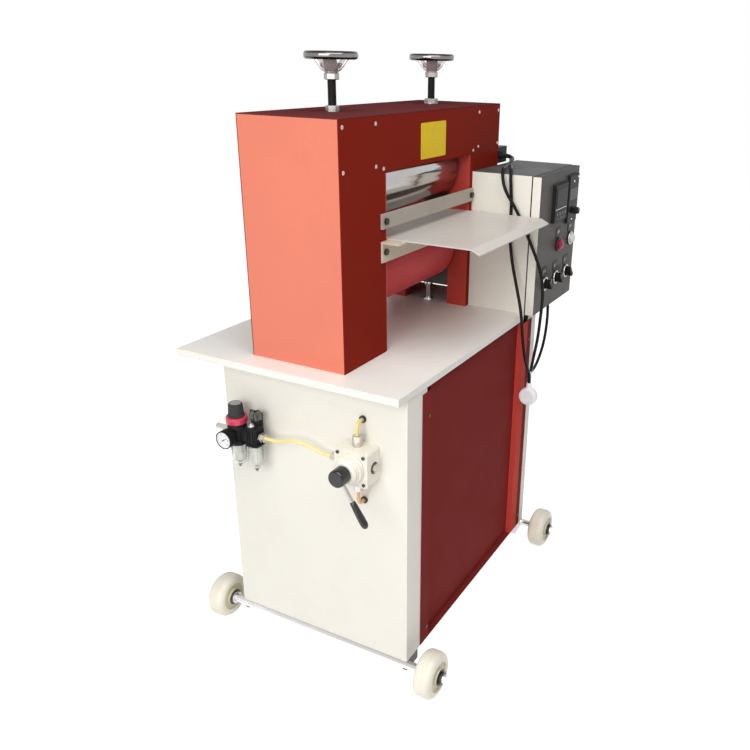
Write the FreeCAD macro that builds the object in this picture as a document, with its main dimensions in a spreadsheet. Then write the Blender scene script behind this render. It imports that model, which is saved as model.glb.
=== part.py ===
"""A roller press for leather: a heated chrome roller over an air-lifted silicone roller,
carried in slotted side plates inside a red head, on a wheeled sheet cabinet.

X runs along the rollers, -Y is the operator's side and Z is up. The origin is on the
floor, under the middle of the whole machine. All lengths are millimetres."""
import FreeCAD, Part
import math
import os
import re

import Sketcher
from FreeCAD import Placement, Rotation, Vector

doc = FreeCAD.newDocument("RollerPress")

# Driving dimensions: name, value, meaning

SIZES = [
    ("clearance", 0.3, "gap between pieces that slide past each other"),
    ("runfit", 0.05, "radial gap of a shaft in its bore"),
    ("overrun", 5, "how far a cut runs past the face it opens"),
    ("sheet", 2, "sheet of the covers and panels"),

    ("cabinetwidth", 700, "cabinet, outside the two sides"),
    ("cabinetdepth", 474, "cabinet, front post face to back flange face"),
    ("cabinetfoot", 65, "height of the cabinet's lower edge"),
    ("leftpost", 62, "front flange of the left side that shows"),
    ("rightpost", 34, "front flange of the right side that shows"),
    ("postlap", 20, "front flange hidden behind the cover's rim"),
    ("backflange", 40, "flange along the back of each side"),
    ("backinset", 10, "back panel, edge to the cabinet's edge"),
    ("floorlip", 25, "upturned lip of the cabinet floor"),
    ("floorplate", 3, "sheet of the cabinet floor"),

    ("rimleft", 36, "left rim of the dished front cover"),
    ("rimright", 62, "right rim of the dished front cover"),
    ("dish", 14, "depth of the front cover's dish"),
    ("rimdrop", 25, "cover's rims end this far under the table"),
    ("coverfoot", 3, "cover's lower edge above the cabinet's"),

    ("wheelradius", 55, "nylon wheel"),
    ("wheelwidth", 46, "nylon wheel across its tread"),
    ("wheelcentre", 297, "middle of a wheel from the machine's middle"),
    ("wheelboss", 2, "wheel hub proud of the tread's sides"),
    ("wheelhub", 21, "wheel hub radius"),
    ("wheelrim", 35, "inner radius of the wheel's rim"),
    ("wheeldish", 4, "depth of the dished wheel side"),
    ("shoulder", 15, "round of the wheel's shoulders"),
    ("axleradius", 10, "axle"),
    ("axlereach", 337, "axle end from the machine's middle"),
    ("axleinset", 4, "axle centre inside the cabinet's side"),
    ("collarradius", 15, "collars that keep a wheel in place"),
    ("collarlong", 7, "length of such a collar"),
    ("hangerwide", 52, "axle hanger, width"),
    ("hangerthick", 12, "axle hanger, thickness"),
    ("hangerplace", 231, "axle hanger, from the machine's middle"),
    ("hangerdrop", 16, "axle hanger below the axle's centre"),

    ("tabletop", 735, "height of the table's face"),
    ("tableplate", 3, "table sheet"),
    ("tablelip", 16, "depth of the table's turned-down lip"),
    ("tablereach", 390, "table's side edges from the cabinet's middle"),
    ("tablefront", 240, "table's front edge from the machine's middle"),
    ("tableback", 335, "table's back edge from the machine's middle"),
    ("bedwide", 64, "bed bar under a side plate, width"),
    ("bedthick", 20, "bed bar, thickness"),
    ("bedinset", 4, "bed bar's ends to the cabinet flanges"),

    ("headshift", 36, "head's middle to the right of the cabinet's"),
    ("rollery", 40, "rollers' axis behind the machine's middle"),
    ("headwidth", 742, "head"),
    ("headdepth", 240, "head"),
    ("headtop", 1238, "height of the head's top"),
    ("windowwide", 410, "work window"),
    ("windowtop", 1125, "upper edge of the work window"),
    ("foldback", 30, "return fold of the head's end covers"),

    ("platespan", 428, "between the middles of the side plates"),
    ("platewall", 30, "side plate, thickness"),
    ("legwide", 54, "leg of a side plate"),
    ("slotwide", 128, "slot that guides the bearing blocks"),
    ("platetop", 1190, "height of the side plates"),
    ("archhigh", 45, "web above the slot"),
    ("beamthick", 30, "top beam"),
    ("beamwide", 200, "top beam"),
    ("beamover", 16, "top beam past the side plates"),

    ("uppercentre", 1090, "height of the chrome roller's axis at rest"),
    ("upperradius", 90, "chrome roller"),
    ("upperlong", 384, "chrome roller"),
    ("upperwall", 12, "chrome roller's shell and end discs"),
    ("lowercentre", 897, "height of the lower roller's axis at rest"),
    ("lowerradius", 92, "lower roller over its silicone"),
    ("lowerlong", 356, "silicone cover"),
    ("silicone", 10, "thickness of the silicone cover"),
    ("coreends", 3, "steel core past the silicone at each end"),
    ("journalradius", 30, "journals in the bearings"),
    ("neckradius", 25, "left journal inside the gear unit"),
    ("journalbore", 12, "bore for the heater rod"),
    ("ringradius", 40, "shoulder beside a block"),
    ("journalout", 16, "journal past a block"),
    ("blockwall", 32, "bearing block, along the roller"),
    ("upperblockup", 50, "upper block above its bore"),
    ("upperblockdown", 60, "upper block below its bore"),
    ("lowerblockup", 58, "lower block above its bore"),
    ("lowerblockdown", 112, "lower block below its bore"),
    ("bearingradius", 42, "bearing, outside"),
    ("bearinglong", 20, "bearing, along the roller"),

    ("heaterradius", 8, "heater rod"),
    ("heatercap", 44, "cap that holds the heater rod"),
    ("capwall", 10, "cap's rim and end wall"),
    ("capspace", 4, "cap's end wall to the journal"),

    ("gearwide", 125, "gear unit, along the roller"),
    ("geardeep", 120, "gear unit, front to back"),
    ("gearup", 62, "gear unit above the journal"),
    ("geardown", 70, "gear unit below the journal"),
    ("gearround", 14, "gear unit's rounded corners"),
    ("motorradius", 58, "motor"),
    ("motorlong", 190, "motor"),
    ("motorfoot", 45, "fan cowl of the motor"),
    ("motorrim", 6, "cowl and flange inside the motor's radius"),

    ("spindleradius", 9, "gap screw"),
    ("spindledip", 5, "gap screw inside its block"),
    ("spindlehole", 0.5, "gap screw to the plate and beam around it"),
    ("wheelheight", 1345, "height of a handwheel's rim"),
    ("handradius", 55, "handwheel"),
    ("rimhigh", 8, "handwheel rim, half its height"),
    ("rimwide", 7, "handwheel rim, half its width"),
    ("rimround", 5.5, "round of the handwheel rim"),
    ("spokewide", 11, "handwheel spoke"),
    ("spokethick", 7, "handwheel spoke"),
    ("hubradius", 16, "handwheel hub"),
    ("hubhigh", 20, "handwheel hub"),
    ("hubfoot", 1312, "height of a handwheel hub's foot"),
    ("lockflats", 28, "lock nut under a handwheel"),
    ("lockhigh", 13, "lock nut under a handwheel"),
    ("nutflats", 30, "gap nut on the head"),
    ("nuthigh", 13, "gap nut on the head"),
    ("neckwall", 4, "gap nut's neck around the screw"),
    ("nutflange", 17, "flange of the right gap nut"),
    ("nutflangehigh", 4, "flange of the right gap nut"),

    ("cylinderradius", 30, "lift cylinder's tube"),
    ("cylinderwall", 4, "lift cylinder's tube"),
    ("cylinderlong", 167, "lift cylinder under the bed bar"),
    ("cylindercap", 33, "lift cylinder's end caps"),
    ("capthick", 20, "lift cylinder's end caps"),
    ("noseradius", 13, "rod gland through the table"),
    ("noseproud", 4, "rod gland above the table"),
    ("pistonlift", 10, "piston above the lower cap at rest"),
    ("pistonlong", 16, "piston"),
    ("rodradius", 7, "piston rod"),
    ("rodnut", 12, "nut under the lower block"),
    ("rodnuthigh", 10, "nut under the lower block"),

    ("guardgap", 23, "guard bar above the feed plate"),
    ("guardhigh", 32, "guard bar"),
    ("guardthick", 5, "guard bar"),
    ("barover", 21, "guard bar and angle past the window"),
    ("boxgap", 2, "right ends of those bars to the control box"),
    ("angledown", 45, "feed angle's upright leg"),
    ("angleout", 44, "feed angle's level leg"),
    ("anglethick", 4, "feed angle"),
    ("feedtop", 988, "height of the feed plate"),
    ("feedthick", 3, "feed plate"),
    ("feedout", 196, "feed plate in front of the head"),
    ("feedin", 60, "feed plate behind the head's front"),
    ("liprun", 20, "feed plate's bent lip, forwards"),
    ("lipdrop", 10, "feed plate's bent lip, downwards"),

    ("boxleft", 252, "control box's left face from the cabinet's middle"),
    ("boxwide", 288, "control box"),
    ("boxtop", 1083, "height of the control box"),
    ("boxdeep", 162, "control box behind its door"),
    ("doordeep", 22, "door"),
    ("dooredge", 1, "door to the box's height at top and foot"),
    ("seam", 0.6, "gap between box and door"),
    ("barrel", 4, "hinge barrel radius"),
    ("barrellong", 24, "one knuckle of a hinge"),
    ("hingepin", 2, "hinge pin"),
    ("hingeinset", 60, "hinges from the door's ends"),

    ("meterwide", 96, "temperature controller, bezel"),
    ("meterx", 385, "temperature controller from the cabinet's middle"),
    ("meterz", 1005, "temperature controller, height"),
    ("meterproud", 8, "temperature controller, bezel thickness"),
    ("meterlong", 60, "temperature controller behind the door"),
    ("meterstep", 3, "bezel past the body, each side"),
    ("speedx", 487, "speed controller from the cabinet's middle"),
    ("speedz", 1002, "speed controller, height"),
    ("speedwide", 78, "speed controller"),
    ("speedhigh", 126, "speed controller"),
    ("speedproud", 6, "speed controller, plate thickness"),
    ("speedlong", 45, "speed controller behind the door"),
    ("knobradius", 11, "speed knob"),
    ("knoblong", 14, "speed knob"),
    ("knobx", 14, "speed knob right of the plate's middle"),
    ("knobdrop", 34, "speed knob below the plate's middle"),
    ("stemradius", 3, "stems of knobs and buttons"),
    ("redx", 402, "red button from the cabinet's middle"),
    ("whitex", 496, "white button from the cabinet's middle"),
    ("buttonz", 893, "buttons, height"),
    ("buttonradius", 13, "button"),
    ("domerise", 6, "rise of the button's dome"),
    ("bezelradius", 18, "button bezel"),
    ("bezelproud", 7, "button bezel"),
    ("bezelbore", 14, "button bezel, inside"),
    ("sleevelong", 22, "button sleeve behind the door"),
    ("sleeveradius", 11, "button sleeve"),
    ("travel", 4, "button travel"),
    ("selectorx", 396, "middle selector from the cabinet's middle"),
    ("selectorgap", 81, "between selectors"),
    ("selectorz", 805, "selectors, height"),
    ("handlelong", 34, "selector handle"),
    ("handlewide", 9, "selector handle"),
    ("handledeep", 15, "selector handle"),
    ("selectordisc", 13, "selector's round base"),
    ("tagwide", 34, "label plate"),
    ("taghigh", 24, "label plate"),
    ("tagthick", 1.5, "label plate"),
    ("tagabove", 32, "label plate above its control"),

    ("trayinset", 14, "mounting plate to the control box's walls"),
    ("railhigh", 35, "mounting rail"),
    ("railproud", 8, "mounting rail"),
    ("railspace", 110, "between the two rails"),
    ("devicehigh", 78, "devices on the rails"),
    ("devicedeep", 70, "devices on the rails"),

    ("heatboxwide", 58, "terminal box on the head's right end"),
    ("heatboxdeep", 50, "terminal box"),
    ("heatboxhigh", 41, "terminal box"),
    ("heatboxgap", 4, "terminal box above the control box"),
    ("glandradius", 8, "cable gland"),
    ("glandlong", 16, "cable gland"),
    ("glandnut", 18, "cable gland across its flats"),
    ("mainsin", 224, "mains gland from the control box's left face"),
    ("mainsdrop", 162, "mains gland below the control box's top"),
    ("controlin", 208, "heater cable's lower gland from the left face"),
    ("controldeep", 12, "heater cable's lower gland behind the box's front"),
    ("heaterin", 12, "heater cable's upper gland from the head's end"),

    ("unitout", 38, "air unit's axes from the left panel"),
    ("regulatory", 176, "regulator's axis from the machine's middle"),
    ("oilery", 128, "lubricator's axis from the machine's middle"),
    ("bodytop", 591, "height of the air unit bodies"),
    ("bodyhigh", 44, "air unit bodies"),
    ("bodywide", 43, "regulator body"),
    ("oilerwide", 35, "lubricator body"),
    ("ringhigh", 15, "red ring on the regulator"),
    ("ringround", 24, "red ring on the regulator"),
    ("regknob", 17, "regulator knob"),
    ("regknobhigh", 31, "regulator knob"),
    ("bowlradius", 17, "bowls"),
    ("bowlhigh", 56, "bowls"),
    ("bowlwall", 2.5, "bowls"),
    ("drainradius", 5, "drain cock"),
    ("drainlong", 10, "drain cock"),
    ("domeradius", 8, "sight dome"),
    ("oilknob", 14, "lubricator's top knob"),
    ("oilknobhigh", 21, "lubricator's top knob"),
    ("oilknobstem", 13, "lubricator's top knob above its body"),
    ("gaugeradius", 21, "pressure gauge"),
    ("gaugedeep", 23, "pressure gauge"),
    ("gaugestem", 6, "pressure gauge's stem radius"),
    ("gaugeneck", 3, "gauge to the regulator body"),
    ("gaugedown", 26, "gauge's axis below the bodies' top"),
    ("portdown", 22, "air ports below the bodies' top"),
    ("inletradius", 7, "inlet nipple"),
    ("inletlong", 24, "inlet nipple"),
    ("fittingflats", 18, "hexagons of the air fittings"),
    ("fittinglong", 12, "air fittings"),
    ("hangplate", 4, "air unit bracket"),
    ("hanghigh", 60, "air unit bracket"),
    ("tuberadius", 4, "air tubes"),
    ("tubewall", 1.25, "air tubes"),

    ("valvey", 132, "hand valve's axis in front of the machine's middle"),
    ("valvez", 562.5, "hand valve's axis, height"),
    ("valvewide", 80, "valve body"),
    ("valvebase", 50, "valve body"),
    ("valveround", 8, "valve body's corners"),
    ("turretwide", 32, "valve turret's radius"),
    ("turretstep", 5, "second step of the turret"),
    ("turretdeep", 27, "valve turret"),
    ("leverhub", 19, "lever hub"),
    ("leverhubdeep", 29, "lever hub"),
    ("leverangle", 32, "lever from straight down, towards the front"),
    ("leverlong", 119, "lever from the hub's axis"),
    ("leverrod", 4.5, "lever rod"),
    ("gripradius", 8, "lever grip"),
    ("griplong", 62, "lever grip"),
    ("leverout", 14, "lever rod from the hub's outer face"),
    ("tubeup", 92, "upper tube's grommet above the valve's axis"),
    ("tubedown", 99, "lower tube's grommet below the valve's axis"),
    ("grommetradius", 8, "grommet"),
    ("grommetproud", 4, "grommet"),
    ("portout", 24, "tubes at the valve from the left panel"),

    ("screwradius", 4.5, "panel screw heads"),
    ("screwhigh", 2.2, "panel screw heads"),
    ("screwinset", 12, "head screws from the cover's ends"),
    ("screwrow", 16, "upper row of head screws below the top"),
    ("rowspace", 82, "between the rows of head screws"),
    ("plateout", 37, "head screws outside the window's edges"),
    ("cornerscrew", 8, "corner screws outside the window's edges"),
    ("boltflats", 13, "black bolt heads"),
    ("bolthigh", 5, "black bolt heads"),
    ("cordradius", 4, "mains cord and heater cable"),
    ("plugradius", 24, "plug body"),
    ("plugthick", 22, "plug body"),
    ("plugneck", 14, "plug's cord sleeve above its body"),
    ("necktube", 6.5, "plug's cord sleeve, radius"),
    ("pinradius", 2.4, "plug pins"),
    ("pinlong", 18, "plug pins"),
    ("pinspace", 19, "between the plug pins"),
]

sheet = doc.addObject("Spreadsheet::Sheet", "Sizes")
for row, (alias, value, meaning) in enumerate(SIZES, start=1):
    sheet.set(f"A{row}", meaning)
    sheet.set(f"B{row}", str(value))
    sheet.setAlias(f"B{row}", alias)
size_names = {alias for alias, value, meaning in SIZES}

# Places that follow from the driving dimensions

places = doc.addObject("App::FeaturePython", "Places")
places.addProperty("App::PropertyFloat", "probe")
place_names = set()


def worded(text):
    """An expression with each size and place name turned into its reference."""
    def refer(match):
        word = match.group(0)
        if word in size_names:
            return "Sizes." + word
        if word in place_names:
            return "Places." + word
        return word
    return re.sub(r"[a-z]+", refer, str(text))


def number(text):
    """The value of an expression, for geometry that code has to work out."""
    places.setExpression("probe", worded(text))
    places.recompute()
    return places.probe


def place(name, text):
    places.addProperty("App::PropertyFloat", name)
    places.setExpression(name, worded(text))
    place_names.add(name)


doc.recompute()
place("reachleft", "cabinetwidth/2 + valvebase + turretdeep + leverhubdeep + clearance")
place("reachright", "boxleft + boxwide + barrel")
place("cabx", "(reachleft - reachright)/2")
place("leftface", "cabx - cabinetwidth/2")
place("rightface", "cabx + cabinetwidth/2")
place("frontface", "-cabinetdepth/2")
place("backface", "cabinetdepth/2")
place("coverleft", "leftface + leftpost")
place("coverright", "rightface - rightpost")
place("tableunder", "tabletop - tableplate")
place("axleleft", "leftface + axleinset")
place("axleright", "rightface - axleinset")
place("headx", "cabx + headshift")
place("headleft", "headx - headwidth/2")
place("headright", "headx + headwidth/2")
place("headfront", "rollery - headdepth/2")
place("headback", "rollery + headdepth/2")
place("windowleft", "headx - windowwide/2")
place("windowright", "headx + windowwide/2")
place("plateleft", "headx - platespan/2")
place("plateright", "headx + platespan/2")
place("innerleft", "plateleft + platewall/2")
place("innerright", "plateright - platewall/2")
place("boxface", "cabx + boxleft")
place("boxend", "boxface + boxwide")
place("boxfoot", "tableunder")
place("boxback", "headfront")
place("boxfront", "boxback - boxdeep")
place("doorback", "boxfront - seam")
place("doorface", "doorback - doordeep")
place("doorfoot", "boxfoot + dooredge")
place("doortop", "boxtop - dooredge")
place("barleft", "windowleft - barover")
place("barright", "boxface - boxgap")
place("blockhalf", "platespan/2 + blockwall/2")
place("blockinner", "platespan/2 - blockwall/2")
place("nosetop", "tabletop + noseproud")
place("cylinderhead", "tableunder - bedthick")
place("lowerblockfoot", "lowercentre - lowerblockdown")
place("beamtop", "platetop + beamthick")
place("guardfoot", "feedtop + guardgap")
place("unitx", "leftface - unitout")
place("portz", "bodytop - portdown")
place("valvex", "leftface - valvebase")
place("hubx", "valvex - turretdeep - clearance")
place("portx", "leftface - portout")
doc.recompute()

# Drawing helpers

TURN = {
    "+X": Rotation(Vector(0, 1, 0), 90), "-X": Rotation(Vector(0, 1, 0), -90),
    "+Y": Rotation(Vector(1, 0, 0), -90), "-Y": Rotation(Vector(1, 0, 0), 90),
    "+Z": Rotation(), "-Z": Rotation(Vector(1, 0, 0), 180),
}


def bind(thing, prop, text):
    thing.setExpression(prop, worded(text))


def put(thing, x, y, z, axis="+Z"):
    """Places a thing, its local +Z turned to the named axis."""
    thing.Placement = Placement(Vector(), TURN[axis])
    bind(thing, "Placement.Base.x", x)
    bind(thing, "Placement.Base.y", y)
    bind(thing, "Placement.Base.z", z)
    return thing


def box(name, x, y, z):
    """A box between two places on each axis."""
    solid = doc.addObject("Part::Box", name)
    for prop, (low, high) in zip(("Length", "Width", "Height"), (x, y, z)):
        bind(solid, prop, f"({high}) - ({low})")
    return put(solid, x[0], y[0], z[0])


def rod(name, radius, long, x, y, z, axis="+Z"):
    solid = doc.addObject("Part::Cylinder", name)
    bind(solid, "Radius", radius)
    bind(solid, "Height", long)
    return put(solid, x, y, z, axis)


def hexagon(name, flats, long, x, y, z, axis="+Z"):
    solid = doc.addObject("Part::Prism", name)
    solid.Polygon = 6
    bind(solid, "Circumradius", f"({flats})/sqrt(3)")
    bind(solid, "Height", long)
    return put(solid, x, y, z, axis)


def fuse(name, *pieces):
    solid = doc.addObject("Part::MultiFuse", name)
    solid.Shapes = list(pieces)
    return solid


def cut(name, base, *tools):
    solid = doc.addObject("Part::Cut", name)
    solid.Base = base
    solid.Tool = tools[0] if len(tools) == 1 else fuse(name + "_tools", *tools)
    return solid


def group(name, *pieces):
    """Separate solids that share one node."""
    solids = doc.addObject("Part::Compound", name)
    solids.Links = list(pieces)
    return solids


def rounded(name, base, radius, chosen):
    """Fillets the edges of base for which chosen(edge) is true."""
    doc.recompute()
    size = number(radius)
    solid = doc.addObject("Part::Fillet", name)
    solid.Base = base
    edges = enumerate(base.Shape.Edges, start=1)
    solid.Edges = [(index, size, size) for index, edge in edges if chosen(edge)]
    return solid


def runs_along(axis):
    """Chooses straight edges parallel to an axis."""
    direction = {"X": Vector(1, 0, 0), "Y": Vector(0, 1, 0), "Z": Vector(0, 0, 1)}[axis]

    def chosen(edge):
        if not isinstance(edge.Curve, Part.Line):
            return False
        return abs(edge.Curve.Direction.dot(direction)) > math.cos(math.radians(1))
    return chosen


def draw(sketch, outline):
    """A closed outline of (x, y) corners; (x, y, r, side) ends an arc of radius r whose
    centre lies to the left (side 1) or right (side -1) of the chord."""
    spots = [Vector(number(point[0]), number(point[1]), 0) for point in outline]
    ends = []
    for index, point in enumerate(outline):
        start, stop = spots[index - 1], spots[index]
        if len(point) == 2:
            edge = sketch.addGeometry(Part.LineSegment(start, stop), False)
            ends.append((edge, 1, 2))
            continue
        radius, side = number(point[2]), point[3]
        chord = stop - start
        rise = math.sqrt(max(radius ** 2 - (chord.Length / 2) ** 2, 0))
        left = Vector(-chord.y, chord.x, 0).normalize()
        centre = (start + stop) * 0.5 + left * (rise * side)
        first, last = (start, stop) if side > 0 else (stop, start)
        angles = [math.atan2(spot.y - centre.y, spot.x - centre.x) for spot in (first, last)]
        ring = Part.Circle(centre, Vector(0, 0, 1), radius)
        edge = sketch.addGeometry(Part.ArcOfCircle(ring, *angles), False)
        ends.append((edge, 1, 2) if side > 0 else (edge, 2, 1))
        held = sketch.addConstraint(Sketcher.Constraint("Radius", edge, radius))
        sketch.setExpression(f"Constraints[{held}]", worded(point[2]))
    for index, point in enumerate(outline):
        edge, head, tail = ends[index]
        follower = ends[(index + 1) % len(ends)]
        sketch.addConstraint(Sketcher.Constraint("Coincident", edge, tail, follower[0], follower[1]))
        for kind, text, value in (("DistanceX", point[0], spots[index].x),
                                  ("DistanceY", point[1], spots[index].y)):
            held = sketch.addConstraint(Sketcher.Constraint(kind, -1, 1, edge, tail, value))
            sketch.setExpression(f"Constraints[{held}]", worded(text))


def drill(sketch, x, y, radius):
    """A round hole in a sketch."""
    ring = Part.Circle(Vector(number(x), number(y), 0), Vector(0, 0, 1), number(radius))
    edge = sketch.addGeometry(ring, False)
    for kind, text, ends in (("DistanceX", x, (-1, 1, edge, 3)),
                             ("DistanceY", y, (-1, 1, edge, 3)), ("Radius", radius, (edge,))):
        held = sketch.addConstraint(Sketcher.Constraint(kind, *ends, number(text)))
        sketch.setExpression(f"Constraints[{held}]", worded(text))


def sketched(name, plane, outline, holes=()):
    """A body with one sketch on its own origin plane."""
    body = doc.addObject("PartDesign::Body", name)
    sketch = body.newObject("Sketcher::SketchObject", name + "_sketch")
    origin = [face for face in body.Origin.OriginFeatures if face.Role == plane + "_Plane"]
    sketch.AttachmentSupport = [(origin[0], "")]
    sketch.MapMode = "FlatFace"
    draw(sketch, outline)
    for hole in holes:
        drill(sketch, *hole)
    return body, sketch


def pad(name, plane, outline, long, x, y, z, holes=()):
    """A padded outline: XY pads up, YZ pads to the right, XZ pads to the front."""
    body, sketch = sketched(name, plane, outline, holes)
    feature = body.newObject("PartDesign::Pad", name + "_pad")
    feature.Profile = sketch
    bind(feature, "Length", long)
    return put(body, x, y, z)


def turned(name, outline, x, y, z, axis="+Z"):
    """A turned piece: (radius, height) corners, spun about the local Z."""
    body, sketch = sketched(name, "XZ", outline)
    feature = body.newObject("PartDesign::Revolution", name + "_turn")
    feature.Profile = sketch
    feature.ReferenceAxis = (sketch, ["V_Axis"])
    feature.Angle = 360
    return put(body, x, y, z, axis)


nodes = {}


def node(name, solid):
    """Registers a finished sub-part under the name of its file."""
    solid.Label = name
    nodes[name] = solid
    return solid


# Cabinet


def cabinet():
    """Two C-shaped sides, a back panel and a floor tray."""
    tall = "tableunder - cabinetfoot"
    sides = []
    for name, edge, way, post in (("left", "leftface", "1", "leftpost"),
                                  ("right", "rightface", "-1", "rightpost")):
        def at(distance):
            return f"{way}*({distance})"
        outline = [("0", "frontface"), (at(f"{post} + postlap"), "frontface"),
                   (at(f"{post} + postlap"), "frontface + sheet"), (at("sheet"), "frontface + sheet"),
                   (at("sheet"), "backface - sheet"), (at("backflange"), "backface - sheet"),
                   (at("backflange"), "backface"), ("0", "backface")]
        sides.append(pad(f"side_{name}", "XY", outline, tall, edge, "0", "cabinetfoot"))
    across = ("leftface - overrun", "leftface + overrun")
    holes = [rod(f"tube_hole_{way}", "tuberadius + clearance", "2*overrun", across[0], "-valvey",
                 f"valvez {way}", "+X") for way in ("+ tubeup", "- tubedown")]
    node("cabinet_sides", group("cabinet_sides", cut("side_left_drilled", sides[0], *holes), sides[1]))
    back = pad("cabinet_back_panel", "XZ",
               [("leftface + backinset", "cabinetfoot"), ("rightface - backinset", "cabinetfoot"),
                ("rightface - backinset", "tableunder"), ("leftface + backinset", "tableunder")],
               "sheet", "0", "backface + sheet", "0")
    node("cabinet_back_panel", back)
    inside = ("leftface + sheet", "rightface - sheet")
    fore = "frontface + dish + clearance"
    tray = box("floor_outer", inside, (fore, "backface - sheet"), ("cabinetfoot", "cabinetfoot + floorlip"))
    hollow = box("floor_hollow", tuple(f"{edge} {way} floorplate" for edge, way in zip(inside, "+-")),
                 (f"{fore} + floorplate", "backface - sheet - floorplate"),
                 ("cabinetfoot + floorplate", "cabinetfoot + floorlip + overrun"))
    node("cabinet_floor", cut("cabinet_floor", tray, hollow))


def front_cover():
    """The red cover, folded as a shallow dish between two rims."""
    skin = "frontface - sheet"
    floor = f"{skin} + dish"
    inner = ("coverleft + rimleft", "coverright - rimright")
    outline = [("coverleft", skin), (f"{inner[0]} + sheet", skin), (f"{inner[0]} + sheet", floor),
               (f"{inner[1]} - sheet", floor), (f"{inner[1]} - sheet", skin), ("coverright", skin),
               ("coverright", "frontface"), (inner[1], "frontface"), (inner[1], f"{floor} + sheet"),
               (inner[0], f"{floor} + sheet"), (inner[0], "frontface"), ("coverleft", "frontface")]
    dish = pad("cover_dish", "XY", outline, "tableunder - cabinetfoot - coverfoot",
               "0", "0", "cabinetfoot + coverfoot")
    foot = box("cover_foot", inner, (skin, f"{floor} + sheet"),
               ("cabinetfoot + coverfoot", "cabinetfoot + coverfoot + sheet"))
    above = ("tableunder - rimdrop", "tableunder + overrun")
    deep = (f"{skin} - overrun", f"frontface + clearance")
    notches = [box("cover_notch_left", ("coverleft - overrun", f"{inner[0]} + sheet"), deep, above),
               box("cover_notch_right", (f"{inner[1]} - sheet", "coverright + overrun"), deep, above)]
    node("front_cover", cut("front_cover", fuse("cover_whole", dish, foot), *notches))


def running_gear():
    """Two through axles in welded hangers, and four nylon wheels."""
    axles = []
    for name, x, span in (
            ("left", "axleleft", ("leftface + sheet", "leftface + hangerwide")),
            ("right", "axleright", ("rightface - hangerwide", "rightface - sheet"))):
        near = "wheelcentre - wheelwidth/2 - wheelboss - clearance - collarlong"
        far = "wheelcentre + wheelwidth/2 + wheelboss + clearance"
        pieces = [rod(f"axle_{name}", "axleradius", "2*axlereach", x, "-axlereach", "wheelradius", "+Y")]
        for way, axis in (("-1", "-Y"), ("1", "+Y")):
            for start in (near, far):
                pieces.append(rod(f"axle_{name}_collar", "collarradius", "collarlong",
                                  x, f"{way}*({start})", "wheelradius", axis))
            middle = f"{way}*hangerplace"
            pieces.append(box(f"axle_{name}_hanger", span,
                              (f"{middle} - hangerthick/2", f"{middle} + hangerthick/2"),
                              ("wheelradius - hangerdrop", "cabinetfoot")))
        axles.append(fuse(f"axle_{name}_whole", *pieces))
    node("axles", group("axles", *axles))
    bore = "axleradius + runfit"
    half, tread = "wheelwidth/2 + wheelboss", "wheelwidth/2"
    floor = "wheelwidth/2 - wheeldish"
    outline = [(bore, f"-({half})"), ("wheelhub", f"-({half})"), ("wheelhub", f"-({floor})"),
               ("wheelrim", f"-({floor})"), ("wheelrim", f"-({tread})"),
               ("wheelradius - shoulder", f"-({tread})"),
               ("wheelradius", f"-({tread} - shoulder)", "shoulder", 1),
               ("wheelradius", f"{tread} - shoulder"),
               ("wheelradius - shoulder", tread, "shoulder", 1), ("wheelrim", tread),
               ("wheelrim", floor), ("wheelhub", floor), ("wheelhub", half), (bore, half)]
    for side, x in (("left", "axleleft"), ("right", "axleright")):
        for end, y in (("front", "-wheelcentre"), ("back", "wheelcentre")):
            name = f"wheel_{end}_{side}"
            node(name, turned(name, outline, x, y, "wheelradius", "+Y"))


# Table and bed


def table():
    """The table sheet with its turned-down lip, notched for the control box."""
    def edge(inset, out):
        left, right = f"cabx - tablereach + {inset}", f"cabx + tablereach - {inset}"
        front, back = f"-tablefront + {inset}", f"tableback - {inset}"
        notch, step = f"boxface - clearance + {out}", f"headfront - {out}"
        return [(left, front), (notch, front), (notch, step), (right, step), (right, back), (left, back)]
    whole = pad("table_whole", "XY", edge("0", "0"), "tablelip", "0", "0", "tabletop - tablelip")
    hollow = pad("table_hollow", "XY", edge("tableplate", "overrun"), "tablelip - tableplate",
                 "0", "0", "tabletop - tablelip")
    noses = [rod(f"table_hole_{name}", "noseradius + clearance", "tablelip + overrun", x, "rollery",
                 "tabletop - tablelip") for name, x in (("left", "plateleft"), ("right", "plateright"))]
    node("table_top", cut("table_top", whole, hollow, *noses))
    bars = []
    for name, x in (("left", "plateleft"), ("right", "plateright")):
        bar = box(f"bed_bar_{name}", (f"{x} - bedwide/2", f"{x} + bedwide/2"),
                  ("frontface + sheet + dish + bedinset", "backface - sheet"), ("cylinderhead", "tableunder"))
        hole = rod(f"bed_hole_{name}", "noseradius", "bedthick + 2*overrun", x, "rollery",
                   "cylinderhead - overrun")
        bars.append(cut(f"bed_bar_{name}_bored", bar, hole))
    node("bed_bars", group("bed_bars", *bars))


# Roller stand inside the head


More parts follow.
